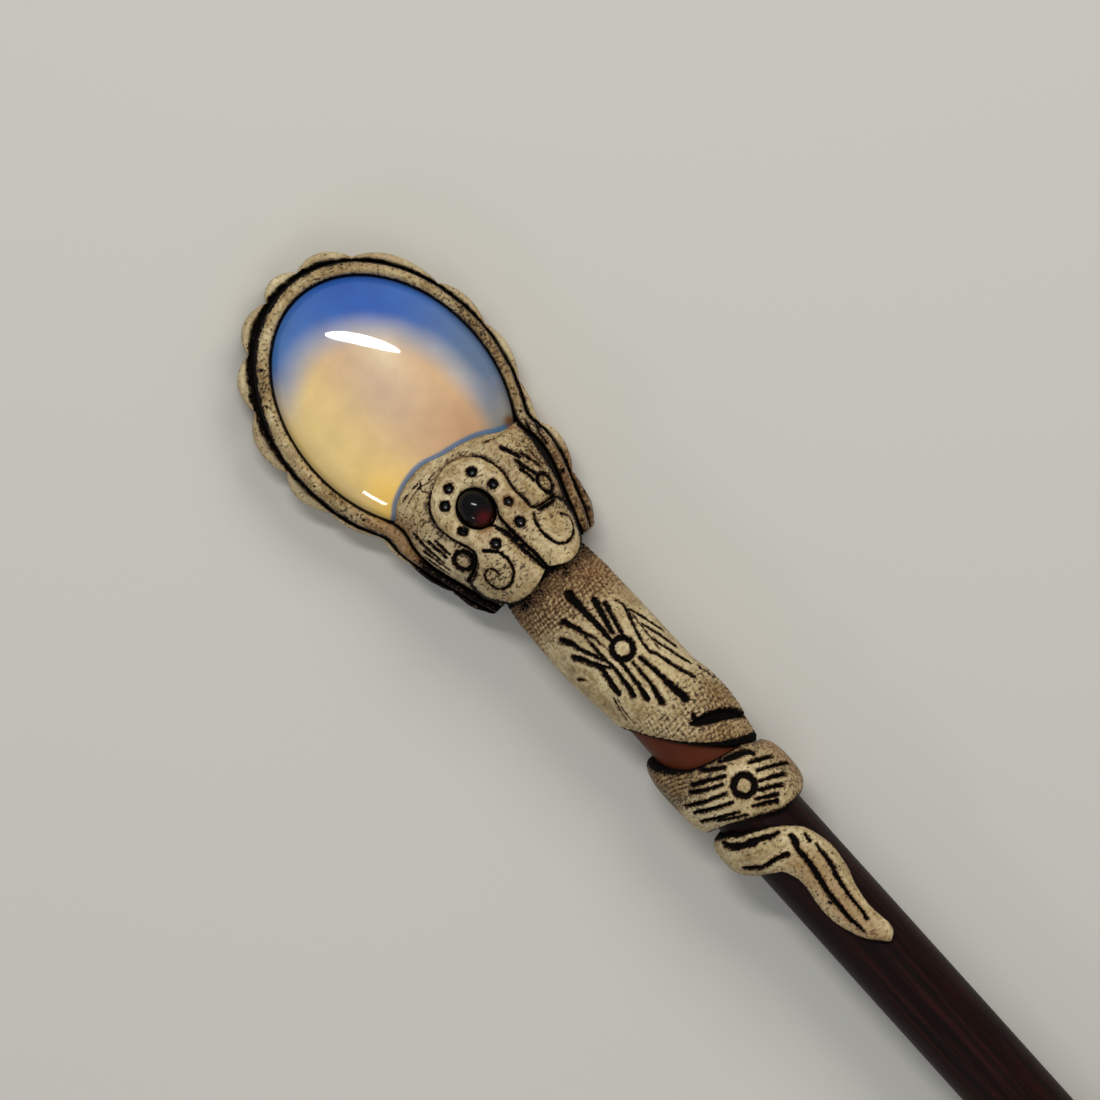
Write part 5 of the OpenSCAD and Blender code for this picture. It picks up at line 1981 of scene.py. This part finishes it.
@dataclass
class CoilTail:
    """The ribbon of clay that winds round the stick and ends in a tail along it.

    Attributes:
        rungs: Share along the ribbon's length and angle round the stick in degrees, at its
            near and at its far edge, then share of its thickness.
        turn_end: The angle up to which it keeps clear of the neck's lip.
        print_at: Middle of the fingerprint at the band's foot.
        print_mm: Distance between the fingerprint's lines.
    """

    setting: Setting
    neck: NeckWrap
    clay: Material
    back: float = 5.75
    length: float = 29.3
    thick: float = 1.8
    edge: float = 0.3
    turn_gap: float = 0.15
    turn_end: float = 470.0
    widest_step: float = 17.0
    rows: int = 760
    top: int = 92
    under: int = 12
    band_r: float = 5.9
    power: float = 2.7
    print_at: Pair = (51.5, -7.0)
    print_mm: float = 0.42
    rungs: Table = (
        (0.203, 112, 0.244, 112, 0.35), (0.155, 140, 0.282, 140, 0.75),
        (0.084, 180, 0.316, 180, 0.95), (0.029, 220, 0.329, 220, 1), (0, 262, 0.326, 262, 1),
        (0.06, 297, 0.329, 297, 0.99), (0.111, 325, 0.35, 325, 0.98), (0.138, 352, 0.384, 352, 1),
        (0.159, 384, 0.428, 383, 1), (0.176, 415, 0.432, 415, 0.98), (0.213, 450, 0.42, 450, 0.97),
        (0.265, 480, 0.425, 480, 0.96), (0.305, 512, 0.46, 512, 0.96), (0.334, 545, 0.5, 545, 0.98),
        (0.346, 590, 0.51, 590, 1), (0.353, 630, 0.507, 630, 1), (0.367, 664, 0.544, 661, 0.99),
        (0.394, 682, 0.561, 677, 0.97), (0.415, 701, 0.575, 686, 0.96),
        (0.439, 718, 0.589, 694, 0.95), (0.469, 732, 0.613, 698, 0.94),
        (0.514, 748, 0.643, 701, 0.92), (0.578, 757, 0.684, 701, 0.9),
        (0.64, 760, 0.739, 698, 0.87), (0.712, 757, 0.794, 697, 0.84),
        (0.78, 749, 0.848, 700, 0.81), (0.852, 745, 0.899, 706, 0.78),
        (0.913, 746, 0.94, 713, 0.74), (0.961, 748, 0.971, 722, 0.66), (0.988, 745, 0.99, 729, 0.5),
        (1, 738, 1, 734, 0.35),
    )
    ring: Ring = Ring(51.9, 0.38, 1.06, 0.58)
    lines: tuple[Stroke, ...] = (
        Stroke(((50.5, 2.25, 0.24), (51.0, 3.2, 0.36), (51.6, 4.3, 0.34))),
        Stroke(((51.7, 2.35, 0.24), (52.3, 3.6, 0.28), (53.2, 5.1, 0.34))),
        Stroke(((52.6, 1.75, 0.24), (53.1, 2.9, 0.32), (53.8, 4.1, 0.34))),
        Stroke(((53.2, 1.15, 0.3), (53.8, 2.2, 0.36), (54.4, 3.25, 0.38))),
        Stroke(((53.7, 0.35, 0.22), (54.3, 1.4, 0.3), (54.8, 2.3, 0.34))),
        Stroke(((54.0, -0.35, 0.2), (54.7, 0.9, 0.3), (55.3, 1.95, 0.34))),
        Stroke(((50.2, 3.3, 0.4), (49.6, 2.9, 0.6), (49.1, 1.9, 0.7), (48.8, 1.0, 0.5),
                (48.4, 0.25, 0.4)), depth=0.3),
        Stroke(((49.3, 0.15, 0.3), (48.6, -0.9, 0.34), (47.9, -1.9, 0.44)), depth=0.34),
        Stroke(((49.9, -0.45, 0.3), (49.2, -1.9, 0.34), (48.4, -3.5, 0.36))),
        Stroke(((50.4, -1.15, 0.24), (49.7, -2.7, 0.32), (48.9, -4.1, 0.34))),
        Stroke(((51.3, -1.45, 0.22), (50.5, -3.6, 0.34), (49.6, -5.3, 0.3))),
        Stroke(((52.4, -1.65, 0.22), (51.6, -3.4, 0.34), (50.7, -5.0, 0.32))),
        Stroke(((53.5, -1.85, 0.22), (52.7, -3.6, 0.32), (51.8, -5.2, 0.3))),
        Stroke(((54.3, -1.45, 0.18), (53.6, -2.8, 0.26), (52.8, -4.0, 0.24)), depth=0.3),
        Stroke(((59.5, 1.75, 0.3), (60.4, 1.65, 0.34)), depth=0.3),
        Stroke(((61.0, 1.85, 0.2), (62.4, 1.75, 0.36), (63.7, 1.6, 0.46), (64.7, 1.25, 0.36),
                (66.7, 0.95, 0.34), (68.7, 0.85, 0.26), (69.9, 0.65, 0.28)), depth=0.34),
        Stroke(((58.8, 0.55, 0.5), (59.6, 0.4, 0.64), (60.2, 0.15, 0.4), (62.2, 0.05, 0.5),
                (63.7, -0.25, 0.52), (65.7, -0.55, 0.42), (68.7, -0.65, 0.38), (70.7, -0.45, 0.14)),
                depth=0.4),
        Stroke(((57.6, -0.2, 0.3), (57.4, -1.1, 0.42), (56.9, -2.0, 0.44), (56.7, -2.8, 0.7),
                (56.3, -3.8, 0.5), (55.8, -4.6, 0.6), (55.0, -5.3, 0.6)), depth=0.4),
        Stroke(((59.9, -0.95, 0.34), (59.5, -2.0, 0.4), (59.3, -3.4, 0.36), (58.8, -4.3, 0.46),
                (58.1, -5.1, 0.34)), depth=0.36),
    )
    spot: Dot = Dot(66.3, -1.15, 0.12, 0.12)

    def place(self, x: Array, y: Array) -> Array:
        """Returns a seen place as place along and length of arc round the stick."""
        return self.setting.unrolled(x, y, self.band_r)

    def build(self) -> Object:
        """Builds the ribbon.

        Formula: each rung runs across the ribbon at a place along the stick and an angle round
        it, raised by a dome, and goes back on the stick's own surface.

        Returns:
            The ribbon's object.
        """
        s, neck = self.setting, self.neck
        over = np.linspace(0, 1, self.top)
        rung, t, lift = ribbon(self.rungs, self.rows, over, self.under)
        near_a, far_a = np.radians(rung[..., 1]), np.radians(rung[..., 3])
        start = neck.start + neck.length - self.back
        near_x = start + self.length * rung[..., 0]
        clear = np.maximum(near_x, neck.end(near_a) + self.turn_gap)
        near_x = np.where(rung[..., 1] < self.turn_end, clear, near_x)
        far_x = np.maximum(start + self.length * rung[..., 2], near_x + self.turn_gap)
        x, a = lerp(far_x, near_x, t), lerp(far_a, near_a, t)
        inner_r = s.bore_r / math.cos(math.radians(self.widest_step / 2))
        wall = (self.thick - inner_r + s.bore_r) * rung[..., 4]
        side = dome(t, self.power)
        points = s.round_stick(x, inner_r + lift * wall * lerp(self.edge, 1, side), a)
        arc = self.band_r * np.arctan2(np.sin(a), np.cos(a))
        relief = Relief(joined(x, arc, 0), points, self.place)
        relief.press(self.lines)
        relief.circle(self.ring)
        relief.dent(self.spot)
        left = smooth((50.5 - x) / 2.5) * smooth((-arc - 0.5) / 3)
        whorl = np.hypot(x - self.print_at[0], (arc - self.print_at[1]) / 1.3)
        waves = np.sin((whorl + 0.12 * noise(points, 1.4, 91)) * 2 * math.pi / self.print_mm)
        print_ink = left * smooth((waves - 0.2) / 0.6) * 0.62
        relief.blacken(print_ink)
        by_neck = 0.6 * smooth((50.5 - x) / 2) + 0.5 * smooth((arc - 2.5) / 3)
        relief.grime_and_shade = 0.2 + 0.5 * left + 0.25 * noise(points, 3, 92) + by_neck
        tail = smooth((x - 58) / 5) * smooth((2.4 - np.abs(arc)) / 2)
        relief.stain = 0.5 * smooth((arc - 5.2) / 2.5) + 0.5 * tail
        relief.stain += 0.4 * left * smooth(noise(points, 2, 93) + 0.2)
        height = (relief.height() - 0.05 * print_ink) * (lift * smooth(side / 0.4))
        # Black along the ribbon's foot: a dark joint, with painted shadow beside the stick.
        foot = np.clip((0.62 - side) / 0.4, 0, 1)
        relief.blacken(0.9 * foot * (1 + 3 * relief.ragged))
        return relief.piece("clay_coil_tail", "coil_tail", height, Ends.FAN, self.clay)


@dataclass
class Stick:
    """The round wooden stick, with a long taper and a rounded tip.

    Attributes:
        butt: The rounding of its hidden end: place along it and how much slimmer, in mm.
    """

    setting: Setting
    finish: Rosewood
    length: float = 157.0
    taper: float = 72.0
    tip_r: float = 1.5
    rows: int = 260
    columns: int = 96
    tip_rows: int = 24
    butt: Table = ((0, 0.15), (0.02, 0.1), (0.15, 0.02))
    uneven_mm: float = 0.02
    top_open: float = 0.02

    def build(self) -> Object:
        """Builds the stick.

        Formula: circles whose radius stays the same up to the taper, shrinks evenly along it
        and closes as a half ball, with a faint unevenness from sanding.

        Returns:
            The stick's object.
        """
        s = self.setting
        straight, ball = self.length - self.taper, self.length - self.tip_r
        places, slimmer = (np.array(column) for column in zip(*self.butt))
        turn = np.linspace(0, math.pi / 2 - self.top_open, self.tip_rows)
        shaft = np.linspace(0.3, ball, self.rows - self.tip_rows - len(places))
        x = np.concatenate([places, shaft, ball + self.tip_r * np.sin(turn)])
        r = np.interp(x, [0, straight, ball], [s.stick_r, s.stick_r, self.tip_r])
        r[:len(places)] = s.stick_r - slimmer
        r[-self.tip_rows:] = self.tip_r * np.cos(turn)
        x, r = x[:, None], r[:, None]
        a = np.linspace(0, 2 * math.pi, self.columns, endpoint=False)[None, :]
        points = s.round_stick(s.stick_x + x, r, a)
        uneven = self.uneven_mm * (noise(points * np.array([0.12, 1, 1]), 2.5, 5) - 1)
        points[..., 1:] += (uneven * (r > 2))[..., None] * np.stack([np.sin(a), np.cos(a)], -1)
        piece = skin("rosewood_stick", points, {}, Ends.FAN, self.finish.material())
        stand_for(piece, "stick")
        return piece


# Studio


@dataclass(frozen=True)
class Lamp:
    """One soft light: its place, aim and sides in mm, its power in watts and its outline.

    A light that isn't mirrored leaves no window shape in the polished stones.
    """

    name: str
    at: tuple[float, float, float]
    aim: tuple[float, float, float]
    sides: Pair
    watts: float
    turn: float = 0.0
    hue: str = "#ffffff"
    mirrored: bool = True
    shape: str = "RECTANGLE"


@dataclass(frozen=True)
class Studio:
    """The pale floor, the lights and the camera, straight above and turned as the photograph is."""

    turn_deg: float = 48.0
    aim_x: float = 21.59
    aim_y: float = 1.7
    plane_z: float = 6.0
    distance: float = 1000.0
    seen: float = 110.0
    sensor: float = 36.0
    floor_half: float = 1500.0
    floor_z: float = -0.1
    ground: str = "#d9dce0"
    ground_strength: float = 0.42
    lamps: tuple[Lamp, ...] = (
        Lamp("strip_light", (-148.0, 52.0, 400.0), (-6.8, 2.2, 7.0), (215.0, 34.0), 0.65, 42.0,
             shape="ELLIPSE"),
        Lamp("window_light", (-120.0, 430.0, 420.0), (25.0, 0.0, 5.0), (380.0, 260.0), 1.55, 20.0,
             hue="#fff8ee", mirrored=False),
        Lamp("side_light", (167.0, -394.0, 282.0), (5.8, -8.0, 7.0), (85.0, 44.0), 0.13, 10.0),
        Lamp("fill_light", (260.0, -120.0, 520.0), (25.0, 0.0, 5.0), (300.0, 300.0), 0.5,
             mirrored=False),
    )

    def build(self) -> None:
        """Makes the floor, the lights, the world and the camera.

        Formula: the lens is the sensor's width times the distance over the stretch that is
        seen, which makes a nearly parallel view from far above.
        """
        h, z = self.floor_half * MM, self.floor_z * MM
        mesh = bpy.data.meshes.new("studio_floor")
        corners = [(-h, -h, z), (h, -h, z), (h, h, z), (-h, h, z)]
        mesh.from_pydata(corners, [], [(0, 1, 2, 3)])
        mesh.materials.append(PlainFloor().material())
        floor = bpy.data.objects.new("studio_floor", mesh)
        bpy.context.scene.collection.objects.link(floor)
        floor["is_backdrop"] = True
        for lamp in self.lamps:
            self.hang(lamp)
        world = bpy.data.worlds.new("studio")
        world.use_nodes = True
        back = world.node_tree.nodes["Background"]
        back.inputs["Color"].default_value = linear(self.ground)
        back.inputs["Strength"].default_value = self.ground_strength
        bpy.context.scene.world = world
        data = bpy.data.cameras.new("camera")
        data.sensor_width = self.sensor
        data.lens = self.sensor * self.distance / self.seen
        data.clip_start, data.clip_end = 0.01, 10
        camera = bpy.data.objects.new("camera", data)
        camera.location = (self.aim_x * MM, self.aim_y * MM, (self.plane_z + self.distance) * MM)
        camera.rotation_euler = (0, 0, math.radians(self.turn_deg))
        bpy.context.scene.collection.objects.link(camera)
        bpy.context.scene.camera = camera
        bpy.context.scene.view_settings.view_transform = "Standard"

    def hang(self, lamp: Lamp) -> None:
        """Hangs one light.

        Formula: its own Z points away from its aim, and its X is a level direction at its
        turn, squared up to Z.

        Args:
            lamp: The light.
        """
        data = bpy.data.lights.new(lamp.name, "AREA")
        data.shape = lamp.shape
        data.size, data.size_y = lamp.sides[0] * MM, lamp.sides[1] * MM
        data.energy = lamp.watts
        data.color = linear(lamp.hue)[:3]
        made = bpy.data.objects.new(lamp.name, data)
        away = np.array(lamp.at) - np.array(lamp.aim)
        away = away / np.linalg.norm(away)
        t = math.radians(lamp.turn)
        side = np.array([math.cos(t), math.sin(t), 0.0])
        side = side - away * (side @ away)
        side = side / np.linalg.norm(side)
        up = np.cross(away, side)
        axes = np.stack([side, up, away], 1)
        rows = [[*axis, place * MM] for axis, place in zip(axes, lamp.at)]
        made.matrix_world = Matrix([*rows, [0, 0, 0, 1]])
        made.visible_glossy = lamp.mirrored
        bpy.context.scene.collection.objects.link(made)


def keep_sizes() -> None:
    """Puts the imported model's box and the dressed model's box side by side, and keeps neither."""
    boxes = {"cad": CAD_BOX, "visual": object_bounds()}
    {name: [list(c) for c in box] for name, box in boxes.items()}


def main() -> None:
    """Builds the studio and every piece in order, and works out the boxes of before and after.

    Each piece is reported by the log as it takes its node's place. The crest and the garnet are
    laid out before the hood, which has a groove for the one and a seat for the other.
    """
    logging.basicConfig(level=logging.INFO, format="%(name)s: %(message)s")
    Studio().build()
    setting = Setting()
    clay = FiredClay().material()
    Stick(setting, Rosewood()).build()
    Stone(setting, PolishedGlass()).build()
    Rim(setting, clay).build()
    Bead(setting, clay).build()
    garnet = Garnet(setting, PolishedGarnet())
    crest = Crest(setting, garnet, clay)
    Hood(setting, garnet, crest, clay).build()
    crest.build()
    garnet.build()
    neck = NeckWrap(setting, clay)
    neck.build()
    CoilTail(setting, neck, clay).build()
    keep_sizes()


if __name__ == "__main__":
    main()
